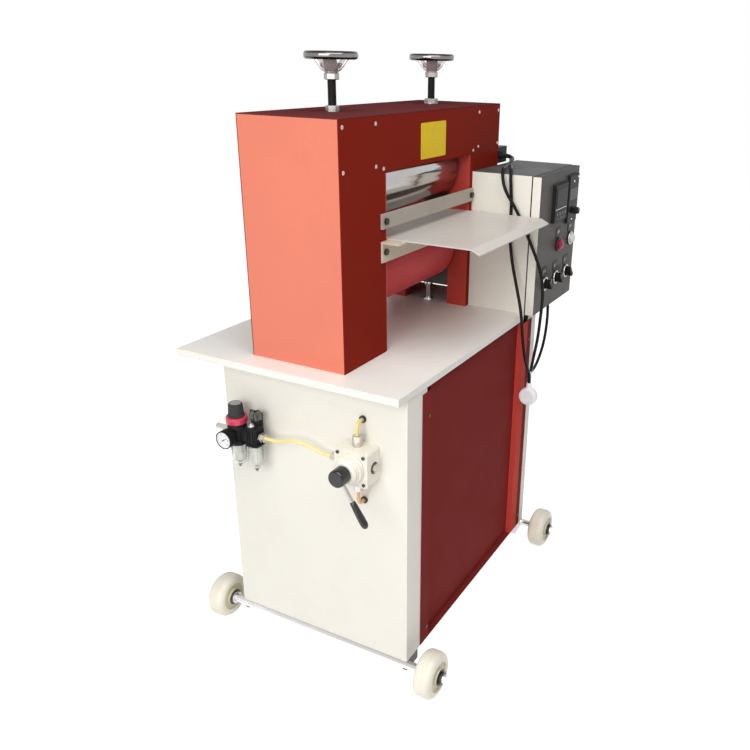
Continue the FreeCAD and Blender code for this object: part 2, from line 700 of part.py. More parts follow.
def side_plates():
    """Arched plates whose slots guide the bearing blocks."""
    front, back = "rollery - slotwide/2 - legwide", "rollery + slotwide/2 + legwide"
    slot = ("rollery - slotwide/2", "rollery + slotwide/2")
    arch = "platetop - archhigh"
    outline = [(front, "tabletop"), (slot[0], "tabletop"), (slot[0], arch), (slot[1], arch),
               (slot[1], "tabletop"), (back, "tabletop"), (back, "platetop"), (front, "platetop")]
    for side, x in (("left", "plateleft"), ("right", "plateright")):
        name = f"side_plate_{side}"
        blank = pad(f"{name}_blank", "YZ", outline, "platewall", f"{x} - platewall/2", "0", "0")
        hole = rod(f"{name}_hole", "spindleradius + spindlehole", "archhigh + 2*overrun", x, "rollery",
                   f"{arch} - overrun")
        node(name, cut(name, blank, hole))
    long = ("plateleft - platewall/2 - beamover", "plateright + platewall/2 + beamover")
    beam = box("beam_blank", long, ("rollery - beamwide/2", "rollery + beamwide/2"), ("platetop", "beamtop"))
    holes = [rod("beam_hole", "spindleradius + spindlehole", "beamthick + 2*overrun", x, "rollery",
                 "platetop - overrun") for x in ("plateleft", "plateright")]
    node("top_beam", cut("top_beam", rounded("beam_rounded", beam, "gearround", runs_along("Z")), *holes))


def blocks(name, centre, up, down, tops):
    """A pair of bearing blocks with their bearing rings."""
    pieces = []
    for side, x in (("left", "plateleft"), ("right", "plateright")):
        blank = box(f"{name}_{side}_blank", (f"{x} - blockwall/2", f"{x} + blockwall/2"),
                    ("rollery - slotwide/2 + clearance", "rollery + slotwide/2 - clearance"),
                    (f"{centre} - {down}", f"{centre} + {up}"))
        tools = [rod(f"{name}_{side}_seat", "bearingradius", "bearinglong", f"{x} - bearinglong/2", "rollery",
                     centre, "+X"),
                 rod(f"{name}_{side}_mouth", "ringradius", "blockwall + 2*overrun",
                     f"{x} - blockwall/2 - overrun", "rollery", centre, "+X")]
        if tops:
            tools.append(rod(f"{name}_{side}_top", "spindleradius + runfit", "spindledip + overrun", x, "rollery",
                             f"{centre} + {up} - spindledip"))
        pieces.append(cut(f"{name}_{side}", blank, *tools))
        pieces.append(turned(f"{name}_{side}_bearing",
                             [("journalradius + runfit", "0"), ("bearingradius", "0"),
                              ("bearingradius", "bearinglong"), ("journalradius + runfit", "bearinglong")],
                             f"{x} - bearinglong/2", "rollery", centre, "+X"))
    return node(name, group(name, *pieces))


def upper_roller():
    """The hollow chrome drum and its two bored journals; the left one drives."""
    half, disc = "upperlong/2", "upperlong/2 - upperwall"
    shell = "upperradius - upperwall"
    inner, outer = "blockinner - clearance", "blockhalf"
    drive = f"{outer} + gearwide - capwall"
    drum = [("journalbore", f"-({inner})"), ("ringradius", f"-({inner})"), ("ringradius", f"-({half})"),
            ("upperradius", f"-({half})"), ("upperradius", half), ("ringradius", half), ("ringradius", inner),
            ("journalbore", inner), ("journalbore", disc), (shell, disc), (shell, f"-({disc})"),
            ("journalbore", f"-({disc})")]
    driven = [("journalbore", f"-({drive})"), ("neckradius", f"-({drive})"), ("neckradius", f"-({outer})"),
              ("journalradius", f"-({outer})"), ("journalradius", f"-({inner})"), ("journalbore", f"-({inner})")]
    free = [("journalbore", inner), ("journalradius", inner), ("journalradius", f"{outer} + journalout"),
            ("journalbore", f"{outer} + journalout")]
    spot = ("headx", "rollery", "uppercentre", "+X")
    node("upper_roller", group("upper_roller", turned("upper_drum", drum, *spot),
                               turned("upper_driven_journal", driven, *spot),
                               turned("upper_free_journal", free, *spot)))
    cap = "blockhalf + journalout + capspace"
    heater = [("0", f"-({outer})"), ("heaterradius", f"-({outer})"), ("heaterradius", cap),
              ("heatercap - capwall", cap), ("heatercap - capwall", outer), ("heatercap", outer),
              ("heatercap", f"{cap} + capwall"), ("0", f"{cap} + capwall")]
    node("heater_rod", turned("heater_rod", heater, "headx", "rollery", "uppercentre", "+X"))


def lower_roller():
    """The steel core with its journals, and the silicone cover."""
    core = "lowerradius - silicone"
    half, inner = "lowerlong/2 + coreends", "blockinner - clearance"
    end = "blockhalf + clearance"
    outline = [("0", f"-({end})"), ("journalradius", f"-({end})"), ("journalradius", f"-({inner})"),
               ("ringradius", f"-({inner})"), ("ringradius", f"-({half})"), (core, f"-({half})"),
               (core, half), ("ringradius", half), ("ringradius", inner), ("journalradius", inner),
               ("journalradius", end), ("0", end)]
    node("lower_roller_core", turned("lower_roller_core", outline, "headx", "rollery", "lowercentre", "+X"))
    cover = [(core, "-lowerlong/2"), ("lowerradius", "-lowerlong/2"), ("lowerradius", "lowerlong/2"),
             (core, "lowerlong/2")]
    node("lower_roller_cover", turned("lower_roller_cover", cover, "headx", "rollery", "lowercentre", "+X"))


def gear_motor():
    """A shaft-mounted gear unit with its motor hanging below, in the left column."""
    far, near = "plateleft - blockwall/2 - gearwide", "plateleft - blockwall/2"
    case = box("gear_case", (far, near), ("rollery - geardeep/2", "rollery + geardeep/2"),
               ("uppercentre - geardown", "uppercentre + gearup"))
    case = rounded("gear_case_rounded", case, "gearround", runs_along("X"))
    bore = rod("gear_bore", "neckradius + runfit", "gearwide + 2*overrun", f"{far} - overrun", "rollery",
               "uppercentre", "+X")
    slim = "motorradius - motorrim"
    foot = "uppercentre - geardown - motorlong"
    outline = [("0", "0"), (f"{slim} - motorrim", "0"), (slim, "motorrim", "motorrim", 1),
               (slim, "motorfoot"), ("motorradius", "motorfoot"), ("motorradius", "motorlong - motorrim"),
               (slim, "motorlong - motorrim"), (slim, "motorlong"), ("0", "motorlong")]
    motor = turned("motor", outline, f"{far} + motorradius", "rollery", foot)
    node("gear_motor", group("gear_motor", cut("gear_unit", case, bore), motor))


def lift():
    """Air cylinders under the bed bars, and the rods that carry the lower blocks."""
    wall, inner = "cylinderradius", "cylinderradius - cylinderwall"
    tall = "cylinderlong"
    nose = "cylinderlong + nosetop - cylinderhead"
    bore = "rodradius + runfit"
    barrel = [("0", "0"), ("cylindercap", "0"), ("cylindercap", "capthick"), (wall, "capthick"),
              (wall, f"{tall} - capthick"), ("cylindercap", f"{tall} - capthick"), ("cylindercap", tall),
              ("noseradius", tall), ("noseradius", nose), (bore, nose), (bore, f"{tall} - capthick"),
              (inner, f"{tall} - capthick"), (inner, "capthick"), ("0", "capthick")]
    start = "capthick + pistonlift"
    top = "cylinderlong + lowerblockfoot - cylinderhead"
    piston = [("0", start), (f"{inner} - runfit", start), (f"{inner} - runfit", f"{start} + pistonlong"),
              ("rodradius", f"{start} + pistonlong"), ("rodradius", f"{top} - rodnuthigh"),
              ("rodnut", f"{top} - rodnuthigh"), ("rodnut", top), ("0", top)]
    for name, outline in (("lift_cylinders", barrel), ("lift_rods", piston)):
        pair = [turned(f"{name}_{side}", outline, x, "rollery", "cylinderhead - cylinderlong")
                for side, x in (("left", "plateleft"), ("right", "plateright"))]
        node(name, group(name, *pair))


def gap_screws():
    """Handwheels on their screws, and the nuts that the screws turn in."""
    spokes = 3
    for side, x in (("left", "plateleft"), ("right", "plateright")):
        name = f"{side}_handwheel"
        middle = "handradius - rimwide"
        low, high = f"{middle} - rimwide", f"{middle} + rimwide"
        rim = turned(f"{name}_rim",
                     [(f"{low} + rimround", "-rimhigh", "rimround", 1), (f"{high} - rimround", "-rimhigh"),
                      (high, "rimround - rimhigh", "rimround", 1), (high, "rimhigh - rimround"),
                      (f"{high} - rimround", "rimhigh", "rimround", 1), (f"{low} + rimround", "rimhigh"),
                      (low, "rimhigh - rimround", "rimround", 1), (low, "rimround - rimhigh")],
                     x, "rollery", "wheelheight")
        hub = turned(f"{name}_hub", [("spindleradius", "0"), ("hubradius", "0"),
                                     ("hubradius + rimwide/2", "hubhigh*0.7"),
                                     ("hubradius", "hubhigh"), ("spindleradius", "hubhigh")],
                     x, "rollery", "hubfoot")
        pieces = [rim, hub]
        for turn in range(spokes):
            pieces.append(spoke(f"{name}_spoke_{turn}", x, 90 + turn * 360 / spokes))
        wheel = fuse(f"{name}_wheel", *pieces)
        foot = "uppercentre + upperblockup - spindledip"
        spindle = fuse(f"{name}_spindle",
                       rod(f"{name}_screw", "spindleradius", f"hubfoot + hubhigh - ({foot})", x, "rollery", foot),
                       hexagon(f"{name}_lock", "lockflats", "lockhigh", x, "rollery", "hubfoot - lockhigh"))
        node(name, group(name, wheel, spindle))
    nuts = []
    for side, x in (("left", "plateleft"), ("right", "plateright")):
        stem = "headtop - beamtop"
        pieces = [rod(f"nut_{side}_neck", "spindleradius + neckwall", stem, x, "rollery", "beamtop"),
                  hexagon(f"nut_{side}_hex", "nutflats", "nuthigh", x, "rollery", "headtop")]
        if side == "right":
            pieces.append(rod("nut_flange", "nutflange", "nutflangehigh", x, "rollery", "headtop"))
        bore = rod(f"nut_{side}_bore", "spindleradius + runfit", f"{stem} + nuthigh + 2*overrun", x, "rollery",
                   "beamtop - overrun")
        nuts.append(cut(f"nut_{side}", fuse(f"nut_{side}_blank", *pieces), bore))
    node("gap_nuts", group("gap_nuts", *nuts))


def spoke(name, x, angle):
    """One dished spoke, lofted from the hub up to the rim."""
    centre = Vector(number(x), number("rollery"), 0)
    out = Vector(math.cos(math.radians(angle)), math.sin(math.radians(angle)), 0)
    across = Vector(-out.y, out.x, 0)
    wide, thick = number("spokewide"), number("spokethick")
    low = number("hubfoot + hubhigh/2")
    high = number("wheelheight")
    inner, outer = number("hubradius"), number("handradius - 2*rimwide")

    def section(reach, height, scale):
        """An oval section across the spoke, as an eight-sided wire."""
        spots = []
        for step in range(8):
            turn = math.radians(45 * step + 22.5)
            spots.append(centre + out * reach + across * (wide / 2 * scale * math.cos(turn))
                         + Vector(0, 0, height + thick / 2 * scale * math.sin(turn)))
        return Part.makePolygon(spots + spots[:1])
    middle = (inner + outer) / 2
    rise = high - low
    sections = [section(inner - thick / 4, low, 1.1), section(middle, low + rise * 0.35, 1.0),
                section(outer + thick / 2, high, 1.0)]
    solid = doc.addObject("Part::Feature", name)
    solid.Shape = Part.makeLoft(sections, True, True)
    return solid


# Head covers


def head_covers():
    """Front and back sheets with the work window, folded end covers and the top."""
    top, low = "headtop - sheet", "tabletop"
    outline = [("headleft", low), ("windowleft", low), ("windowleft", "windowtop"),
               ("windowright", "windowtop"), ("windowright", low), ("headright", low),
               ("headright", top), ("headleft", top)]
    for name, y in (("head_front_cover", "headfront + sheet"), ("head_back_cover", "headback")):
        node(name, pad(name, "XZ", outline, "sheet", "0", y, "0"))
    ends = []
    for side, edge, way in (("left", "headleft", "1"), ("right", "headright", "-1")):
        front, back = "headfront + sheet", "headback - sheet"
        fold, wall = f"{way}*foldback", f"{way}*sheet"
        profile = [("0", front), (fold, front), (fold, f"{front} + sheet"), (wall, f"{front} + sheet"),
                   (wall, f"{back} - sheet"), (fold, f"{back} - sheet"), (fold, back), ("0", back)]
        ends.append(pad(f"head_end_{side}", "XY", profile, f"{top} - {low}", edge, "0", low))
    node("head_end_covers", group("head_end_covers", *ends))
    cover = pad("head_top_cover", "XY",
                [("headleft", "headfront"), ("headright", "headfront"),
                 ("headright", "headback"), ("headleft", "headback")], "sheet", "0", "0", top,
                holes=[("plateleft", "rollery", "spindleradius + neckwall"),
                       ("plateright", "rollery", "spindleradius + neckwall")])
    node("head_top_cover", cover)


def feed():
    """Guard bar, feed angle and the feed plate with its bent lip."""
    bar = box("guard_bar", ("barleft", "barright"), ("headfront - guardthick", "headfront"),
              ("guardfoot", "guardfoot + guardhigh"))
    node("guard_bar", bar)
    under = "feedtop - feedthick"
    angle = pad("feed_angle", "YZ",
                [("headfront", f"{under} - angledown"), ("headfront", under),
                 ("headfront - angleout", under), ("headfront - angleout", f"{under} - anglethick"),
                 ("headfront - anglethick", f"{under} - anglethick"),
                 ("headfront - anglethick", f"{under} - angledown")],
                "barright - barleft", "barleft", "0", "0")
    node("feed_angle", angle)
    left, right = "innerleft + clearance", "innerright - clearance"
    front, back = "headfront - feedout", "headfront + feedin"
    plate = box("feed_flat", (left, right), (front, back), (under, "feedtop"))
    lip = pad("feed_lip", "YZ",
              [(front, under), (front, "feedtop"), (f"{front} - liprun", "feedtop - lipdrop"),
               (f"{front} - liprun", f"{under} - lipdrop")], f"({right}) - ({left})", left, "0", "0")
    node("feed_plate", fuse("feed_plate", plate, lip))


# Control box and its door


def control_box():
    """An open-fronted sheet box with hinge knuckles on its right edge."""
    wide, deep, tall = ("boxface", "boxend"), ("boxfront", "boxback"), ("boxfoot", "boxtop")
    outer = box("box_outer", wide, deep, tall)
    hollow = box("box_hollow", ("boxface + sheet", "boxend - sheet"), ("boxfront - overrun", "boxback - sheet"),
                 ("boxfoot + sheet", "boxtop - sheet"))
    axis = ("boxend", "boxfront - seam/2")
    starts = ("doorfoot + hingeinset", "doortop - hingeinset - 2*barrellong")
    knuckles, clears = [], []
    for end, start in zip(("low", "high"), starts):
        knuckles.append(rod(f"box_knuckle_{end}", "barrel", "barrellong", *axis, start))
        knuckles.append(rod(f"box_pin_{end}", "hingepin", "2*barrellong", *axis, start))
        clears.append(rod(f"box_clear_{end}", "barrel + clearance", "barrellong + 2*clearance", *axis,
                          f"{start} + barrellong - clearance"))
    shell = cut("box_shell", outer, hollow, *clears)
    node("control_box", fuse("control_box", shell, *knuckles))

    body = box("door_outer", wide, ("doorface", "doorback"), ("doorfoot", "doortop"))
    pocket = box("door_hollow", ("boxface + sheet", "boxend - sheet"), ("doorface + sheet", "doorback + overrun"),
                 ("doorfoot + sheet", "doortop - sheet"))
    tools = [pocket]
    for x, z, across, high in (("meterx", "meterz", "meterwide", "meterwide"),
                               ("speedx", "speedz", "speedwide", "speedhigh")):
        half = (f"{across}/2 - meterstep", f"{high}/2 - meterstep")
        tools.append(box(f"door_window_{x}", (f"cabx + {x} - ({half[0]})", f"cabx + {x} + {half[0]}"),
                         ("doorface - overrun", "doorface + sheet + overrun"),
                         (f"{z} - ({half[1]})", f"{z} + {half[1]}")))
    for x, z in control_spots():
        tools.append(rod("door_hole", "sleeveradius", "sheet + 2*overrun", x, "doorface - overrun", z, "+Y"))
    own = []
    for end, start in zip(("low", "high"), starts):
        tools.append(rod(f"door_clear_{end}", "barrel + clearance", "barrellong + 2*clearance", *axis,
                         f"{start} - clearance"))
        ear = rod(f"door_knuckle_{end}", "barrel", "barrellong - clearance", *axis,
                  f"{start} + barrellong + clearance")
        own.append(ear)
    leaf = fuse("door_leaf", cut("door_shell", body, *tools), *own)
    pins = [rod(f"door_pin_{end}", "hingepin + runfit", "2*barrellong + 2*overrun", *axis, f"{start} - overrun")
            for end, start in zip(("low", "high"), starts)]
    node("control_door", cut("control_door", leaf, *pins))


def selector_places():
    return [f"cabx + selectorx + {step}*selectorgap" for step in (-1, 0, 1)]


def control_spots():
    """Where the buttons and selectors go through the door."""
    spots = [("cabx + redx", "buttonz"), ("cabx + whitex", "buttonz")]
    return spots + [(x, "selectorz") for x in selector_places()]


def instruments():
    """What the door carries: controllers, bezels, label plates, buttons and selectors."""
    for name, x, z, across, high, proud, long in (
            ("temperature_controller", "meterx", "meterz", "meterwide", "meterwide", "meterproud", "meterlong"),
            ("speed_controller", "speedx", "speedz", "speedwide", "speedhigh", "speedproud", "speedlong")):
        middle = f"cabx + {x}"
        bezel = box(f"{name}_bezel", (f"{middle} - {across}/2", f"{middle} + {across}/2"),
                    (f"doorface - {proud}", "doorface"), (f"{z} - {high}/2", f"{z} + {high}/2"))
        bezel = rounded(f"{name}_rounded", bezel, "meterstep", runs_along("Y"))
        inner, tall = f"{across}/2 - meterstep", f"{high}/2 - meterstep"
        back = box(f"{name}_body", (f"{middle} - ({inner})", f"{middle} + {inner}"),
                   ("doorface", f"doorface + {long}"), (f"{z} - ({tall})", f"{z} + {tall}"))
        whole = fuse(f"{name}_whole", bezel, back)
        if name == "speed_controller":
            hole = rod("speed_hole", "stemradius + runfit", "speedproud + speedlong/2 + overrun", f"{middle} + knobx",
                       "doorface - speedproud - overrun", f"{z} - knobdrop", "+Y")
            whole = cut(f"{name}_bored", whole, hole)
        node(name, whole)
    stem = "speedproud + knoblong/2"
    knob = [("0", f"-({stem})"), ("stemradius", f"-({stem})"), ("stemradius", "clearance"),
            ("knobradius", "clearance"), ("knobradius", "knoblong - 2*clearance"),
            ("knobradius - 2*clearance", "knoblong"), ("0", "knoblong")]
    node("speed_knob", turned("speed_knob", knob, "cabx + speedx + knobx", "doorface - speedproud",
                              "speedz - knobdrop", "-Y"))
    bezels = []
    for index, (x, z) in enumerate(control_spots()):
        ring = [("stemradius + runfit", "-sleevelong"), ("sleeveradius", "-sleevelong"), ("sleeveradius", "0"),
                ("bezelradius", "0"), ("bezelradius", "bezelproud"), ("bezelbore", "bezelproud"),
                ("bezelbore", "clearance"), ("stemradius + runfit", "clearance")]
        bezels.append(turned(f"bezel_{index}", ring, x, "doorface", z, "-Y"))
        tag = box(f"tag_{index}", (f"{x} - tagwide/2", f"{x} + tagwide/2"), ("doorface - tagthick", "doorface"),
                  (f"{z} + tagabove - taghigh/2", f"{z} + tagabove + taghigh/2"))
        bezels.append(tag)
    node("door_bezels", group("door_bezels", *bezels))
    rest = "travel + 2*clearance"
    button = [("0", "-sleevelong"), ("stemradius", "-sleevelong"), ("stemradius", rest),
              ("buttonradius", rest), ("buttonradius", f"bezelproud + travel"),
              ("0", "bezelproud + travel + domerise", "(buttonradius^2 + domerise^2)/(2*domerise)", 1)]
    for name, x in (("red_button", "redx"), ("white_button", "whitex")):
        node(name, turned(name, button, f"cabx + {x}", "doorface", "buttonz", "-Y"))
    for index, x in enumerate(selector_places(), start=1):
        name = f"selector_{index}"
        disc = [("0", "-sleevelong"), ("stemradius", "-sleevelong"), ("stemradius", "2*clearance"),
                ("selectordisc", "2*clearance"), ("selectordisc", "bezelproud + clearance"),
                ("0", "bezelproud + clearance")]
        base = turned(f"{name}_disc", disc, x, "doorface", "selectorz", "-Y")
        bar = doc.addObject("Part::Box", f"{name}_bar")
        bind(bar, "Length", "handlelong")
        bind(bar, "Width", "handledeep")
        bind(bar, "Height", "handlewide")
        bar.Placement = Placement(Vector(), Rotation(Vector(0, 1, 0), 45))
        swing = "sqrt(0.5)"
        bind(bar, "Placement.Base.x", f"{x} - {swing}*(handlelong/2 + handlewide/2)")
        bind(bar, "Placement.Base.y", "doorface - bezelproud - clearance - handledeep")
        bind(bar, "Placement.Base.z", f"selectorz + {swing}*(handlelong/2 - handlewide/2)")
        node(name, fuse(name, base, bar))


def control_gear():
    """Mounting plate with two rails, a contactor, a relay, a drive and terminals."""
    left, right = "boxface + trayinset", "boxend - trayinset"
    plate_front = "boxback - 2*sheet"
    low, high = "boxfoot + 2*trayinset", "boxtop - 2*trayinset"
    pieces = [box("gear_plate", (left, right), (plate_front, "boxback - sheet"), (low, high))]
    face = f"{plate_front} - railproud"
    middle = "(boxfoot + boxtop)/2"
    for row, height in (("low", f"{middle} - railspace/2"), ("high", f"{middle} + railspace/2")):
        pieces.append(box(f"rail_{row}", (f"{left} + trayinset", f"{right} - trayinset"), (face, plate_front),
                          (f"{height} - railhigh/2", f"{height} + railhigh/2")))
        shares = (0.02, 0.28, 0.56, 0.98) if row == "low" else (0.02, 0.22, 0.42, 0.98)
        span = f"({right} - {left} - 2*trayinset)"
        for index in range(len(shares) - 1):
            start = f"{left} + trayinset + {shares[index]}*{span} + clearance"
            stop = f"{left} + trayinset + {shares[index + 1]}*{span} - clearance"
            deep = ("devicedeep", "devicedeep*0.75", "devicedeep*0.6")[index]
            tall = ("devicehigh", "devicehigh*0.9", "devicehigh*0.7")[index]
            pieces.append(box(f"device_{row}_{index}", (start, stop), (f"{face} - {deep}", face),
                              (f"{height} - {tall}/2", f"{height} + {tall}/2")))
    node("control_gear", group("control_gear", *pieces))


def heat_box():
    """The black terminal box of the heater, and the cable glands."""
    foot = "boxtop + heatboxgap"
    body = box("heat_body", ("headright", "headright + heatboxwide"), ("headfront", "headfront + heatboxdeep"),
               (foot, f"{foot} + heatboxhigh"))
    node("heater_terminal_box", rounded("heater_terminal_box", body, "meterstep", runs_along("Y")))
    pieces = []
    for name, (x, y, z, axis, long) in gland_places().items():
        nut = hexagon(f"{name}_nut", "glandnut", "glandlong/2", x, y, z, axis)
        sleeve = rod(f"{name}_sleeve", "glandradius", long, x, y, z, axis)
        pieces.append(fuse(f"{name}_gland", nut, sleeve))
    node("cable_glands", group("cable_glands", *pieces))


def gland_places():
    """Each gland's seat, the way it points and its length."""
    return {
        "mains": ("boxface + mainsin", "boxback", "boxtop - mainsdrop", "+Y", "glandlong"),
        "heater": ("headright + heaterin", "headfront", "boxtop + heatboxgap + heatboxhigh/2", "-Y",
                   "glandlong/2"),
        "control": ("boxface + controlin", "boxfront + controldeep", "boxfoot", "-Z", "glandlong"),
    }


# Air unit and hand valve on the left panel


def air_unit():
    """Filter regulator and lubricator with their bowls, knob, gauge and fittings."""
    foot = "bodytop - bodyhigh"
    half = "bodywide/2"
    body = box("regulator_block", (f"unitx - {half}", f"unitx + {half}"),
               (f"regulatory - {half}", f"regulatory + {half}"), (foot, "bodytop"))
    body = rounded("regulator_block_rounded", body, "valveround", runs_along("Z"))
    ring = rod("regulator_ring", "ringround", "ringhigh", "unitx", "regulatory", "bodytop")
    hole = rod("regulator_hole", "stemradius + runfit", "ringhigh + overrun", "unitx", "regulatory",
               "bodytop + ringhigh/2")
    node("regulator_body", group("regulator_body", body, cut("regulator_ring_bored", ring, hole)))
    low = "bodytop + ringhigh + clearance"
    knob = [("0", f"-ringhigh/2 - clearance"), ("stemradius", "-ringhigh/2 - clearance"), ("stemradius", "0"),
            ("regknob + barrel/2", "0"), ("regknob", "barrel"), ("regknob", "regknobhigh - barrel/2"),
            ("regknob - barrel/2", "regknobhigh"), ("0", "regknobhigh")]
    node("regulator_knob", turned("regulator_knob", knob, "unitx", "regulatory", low))
    wide = "oilerwide/2"
    head = box("oiler_block", (f"unitx - {wide}", f"unitx + {wide}"), (f"oilery - {wide}", f"oilery + {wide}"),
               (foot, "bodytop"))
    head = rounded("oiler_block_rounded", head, "valveround", runs_along("Z"))
    dome = turned("oiler_dome", [("0", "0"), ("domeradius", "0"), ("domeradius", "barrel"),
                                 ("0", "barrel + domeradius", "domeradius", 1)],
                  f"unitx - {wide}/2", "oilery", "bodytop")
    cap = turned("oiler_cap", [("0", "0"), ("stemradius*2", "0"), ("stemradius*2", "oilknobstem"),
                               ("oilknob", "oilknobstem"), ("oilknob", "oilknobstem + oilknobhigh"),
                               ("0", "oilknobstem + oilknobhigh")], f"unitx + {wide}/2", "oilery", "bodytop")
    node("lubricator_head", group("lubricator_head", head, dome, cap))
    bowls = []
    skin = "bowlradius - bowlwall"
    outline = [("0", "-drainlong"), ("drainradius", "-drainlong"), ("drainradius", "0"), ("bowlradius/2", "0"),
               ("bowlradius", "bowlradius/2", "bowlradius/2", 1), ("bowlradius", "bowlhigh"), (skin, "bowlhigh"),
               (skin, "bowlradius/2"), (skin, "bowlwall"), ("0", "bowlwall")]
    for name, y in (("filter", "regulatory"), ("oil", "oilery")):
        bowls.append(turned(f"bowl_{name}", outline, "unitx", y, f"{foot} - bowlhigh"))
    node("filter_bowls", group("filter_bowls", *bowls))
    gauge = [("0", "0"), ("gaugestem", "0"), ("gaugestem", "gaugeneck"), ("gaugeradius - barrel", "gaugeneck"),
             ("gaugeradius", "gaugeneck + barrel", "barrel", 1), ("gaugeradius", "gaugeneck + gaugedeep"),
             ("gaugeradius - sheet", "gaugeneck + gaugedeep"),
             ("gaugeradius - sheet", "gaugeneck + gaugedeep - sheet"),
             ("0", "gaugeneck + gaugedeep - sheet")]
    node("pressure_gauge", turned("pressure_gauge", gauge, f"unitx - {half}", "regulatory",
                                  "bodytop - gaugedown", "-X"))


def hand_valve():
    """The cream rotary valve, and the lever on its black hub."""
    half = "valvewide/2"
    base = box("valve_block", ("valvex", "leftface"), (f"-valvey - {half}", f"-valvey + {half}"),
               (f"valvez - {half}", f"valvez + {half}"))
    base = rounded("valve_block_rounded", base, "valveround", runs_along("X"))
    first, second = "turretdeep*0.45", "turretdeep"
    turret = turned("valve_turret",
                    [("0", "0"), ("turretwide", "0"), ("turretwide", f"{first} - clearance"),
                     ("turretwide - turretstep", first), ("turretwide - turretstep", f"{second} - turretstep"),
                     ("turretwide - 2*turretstep", second), ("0", second)],
                    "valvex", "-valvey", "valvez", "-X")
    pin_hole = rod("valve_pin_hole", "stemradius + runfit", "turretdeep + overrun",
                   "valvex - turretdeep - overrun", "-valvey", "valvez", "+X")
    node("valve_body", cut("valve_body", fuse("valve_whole", base, turret), pin_hole))
    hub = turned("lever_hub",
                 [("0", "-turretdeep + clearance"), ("stemradius", "-turretdeep + clearance"), ("stemradius", "0"),
                  ("leverhub", "0"), ("leverhub", "leverhubdeep - stemradius"),
                  ("leverhub - stemradius", "leverhubdeep", "stemradius", 1), ("0", "leverhubdeep")],
                 "hubx", "-valvey", "valvez", "-X")
    angle = number("leverangle")
    shaft = doc.addObject("Part::Cylinder", "lever_shaft")
    grip = doc.addObject("Part::Cylinder", "lever_grip")
    for solid, radius, start, stop in ((shaft, "leverrod", "leverhub/2", "leverlong - griplong/2"),
                                       (grip, "gripradius", "leverlong - griplong", "leverlong")):
        bind(solid, "Radius", radius)
        bind(solid, "Height", f"({stop}) - ({start})")
        solid.Placement = Placement(Vector(), Rotation(Vector(1, 0, 0), 180 - angle))
        bind(solid, "Placement.Base.x", "hubx - leverhubdeep + leverout")
        bind(solid, "Placement.Base.y", f"-valvey - ({start})*sin(leverangle*1deg)")
        bind(solid, "Placement.Base.z", f"valvez - ({start})*cos(leverangle*1deg)")
    doc.recompute()
    ends = rounded("lever_grip_rounded", grip, "gripradius*0.8", lambda edge: edge.Closed)
    node("valve_lever", fuse("valve_lever", hub, shaft, ends))


def air_lines():
    """Fittings, the unit's bracket, and the three air tubes."""
    half, wide = "bodywide/2", "oilerwide/2"
    gap_low, gap_high = f"oilery + {wide}", f"regulatory - {half}"
    pieces = [box("unit_spacer", (f"unitx - {wide}/2", f"unitx + {wide}/2"), (gap_low, gap_high),
                  ("portz - fittinglong", "portz + fittinglong")),
              box("unit_arm", (f"unitx + {wide}/2", "leftface - hangplate"), (gap_low, gap_high),
                  ("portz - fittinglong", "portz + fittinglong")),
              box("unit_plate", ("leftface - hangplate", "leftface"), (f"{gap_low} - hanghigh/5", f"{gap_high} + hanghigh/5"),
                  ("portz - hanghigh/3", "portz + hanghigh*2/3"))]
    bracket = fuse("unit_bracket", *pieces)
    inlet_y, outlet_y = f"regulatory + {half}", f"oilery - {wide}"
    inlet = fuse("inlet", hexagon("inlet_hex", "fittingflats", "fittinglong", "unitx", inlet_y, "portz", "+Y"),
                 rod("inlet_nipple", "inletradius", "fittinglong + inletlong", "unitx", inlet_y, "portz", "+Y"))
    outlet = hexagon("outlet", "fittingflats", "fittinglong", "unitx", outlet_y, "portz", "-Y")
    valve_ports = [hexagon("valve_port_side", "fittingflats", "fittinglong*2", "portx", "-valvey + valvewide/2",
                           "valvez", "+Y"),
                   hexagon("valve_port_up", "fittingflats", "fittinglong*2", "portx", "-valvey",
                           "valvez + valvewide/2", "+Z"),
                   hexagon("valve_port_down", "fittingflats", "fittinglong*2", "portx", "-valvey",
                           "valvez - valvewide/2", "-Z")]
    plug = hexagon("valve_plug", "fittingflats", "fittinglong/2", "portx", "-valvey - valvewide/2", "valvez", "-Y")
    grommets = []
    for name, z in (("up", "valvez + tubeup"), ("down", "valvez - tubedown")):
        ring = rod(f"grommet_{name}", "grommetradius", "grommetproud", "leftface", "-valvey", z, "-X")
        hole = rod(f"grommet_{name}_hole", "tuberadius", "grommetproud + 2*overrun", "leftface + overrun", "-valvey",
                   z, "-X")
        grommets.append(cut(f"grommet_{name}_bored", ring, hole))
    node("air_fittings", group("air_fittings", bracket, inlet, outlet, *valve_ports, plug, *grommets))
    start = (number("unitx"), number(f"{outlet_y} - fittinglong"), number("portz"))
    stop = (number("portx"), number("-valvey + valvewide/2 + 2*fittinglong"), number("valvez"))
    lift_z = number("portz + fittinglong")
    span = start[1] - stop[1]
    supply = [start, (start[0], start[1] - span * 0.2, start[2]), (start[0], start[1] - span * 0.4, lift_z),
              (start[0] + (stop[0] - start[0]) * 0.3, start[1] - span * 0.62, lift_z),
              (stop[0], stop[1] + span * 0.16, stop[2]), stop]
    tubes = [tube("supply_tube", supply, number("tuberadius"))]
    inner = number("leftface + overrun")
    for name, way, port, hole in (("raise_tube", 1, "valvez + valvewide/2 + 2*fittinglong", "valvez + tubeup"),
                                  ("drop_tube", -1, "valvez - valvewide/2 - 2*fittinglong", "valvez - tubedown")):
        first = (number("portx"), number("-valvey"), number(port))
        corner = (number("portx"), number("-valvey"), number(hole))
        last = (inner, number("-valvey"), number(hole))
        tubes.append(tube(name, [first, corner, last], number("tuberadius")))
    node("air_tubes", group("air_tubes", *tubes))


# Cords


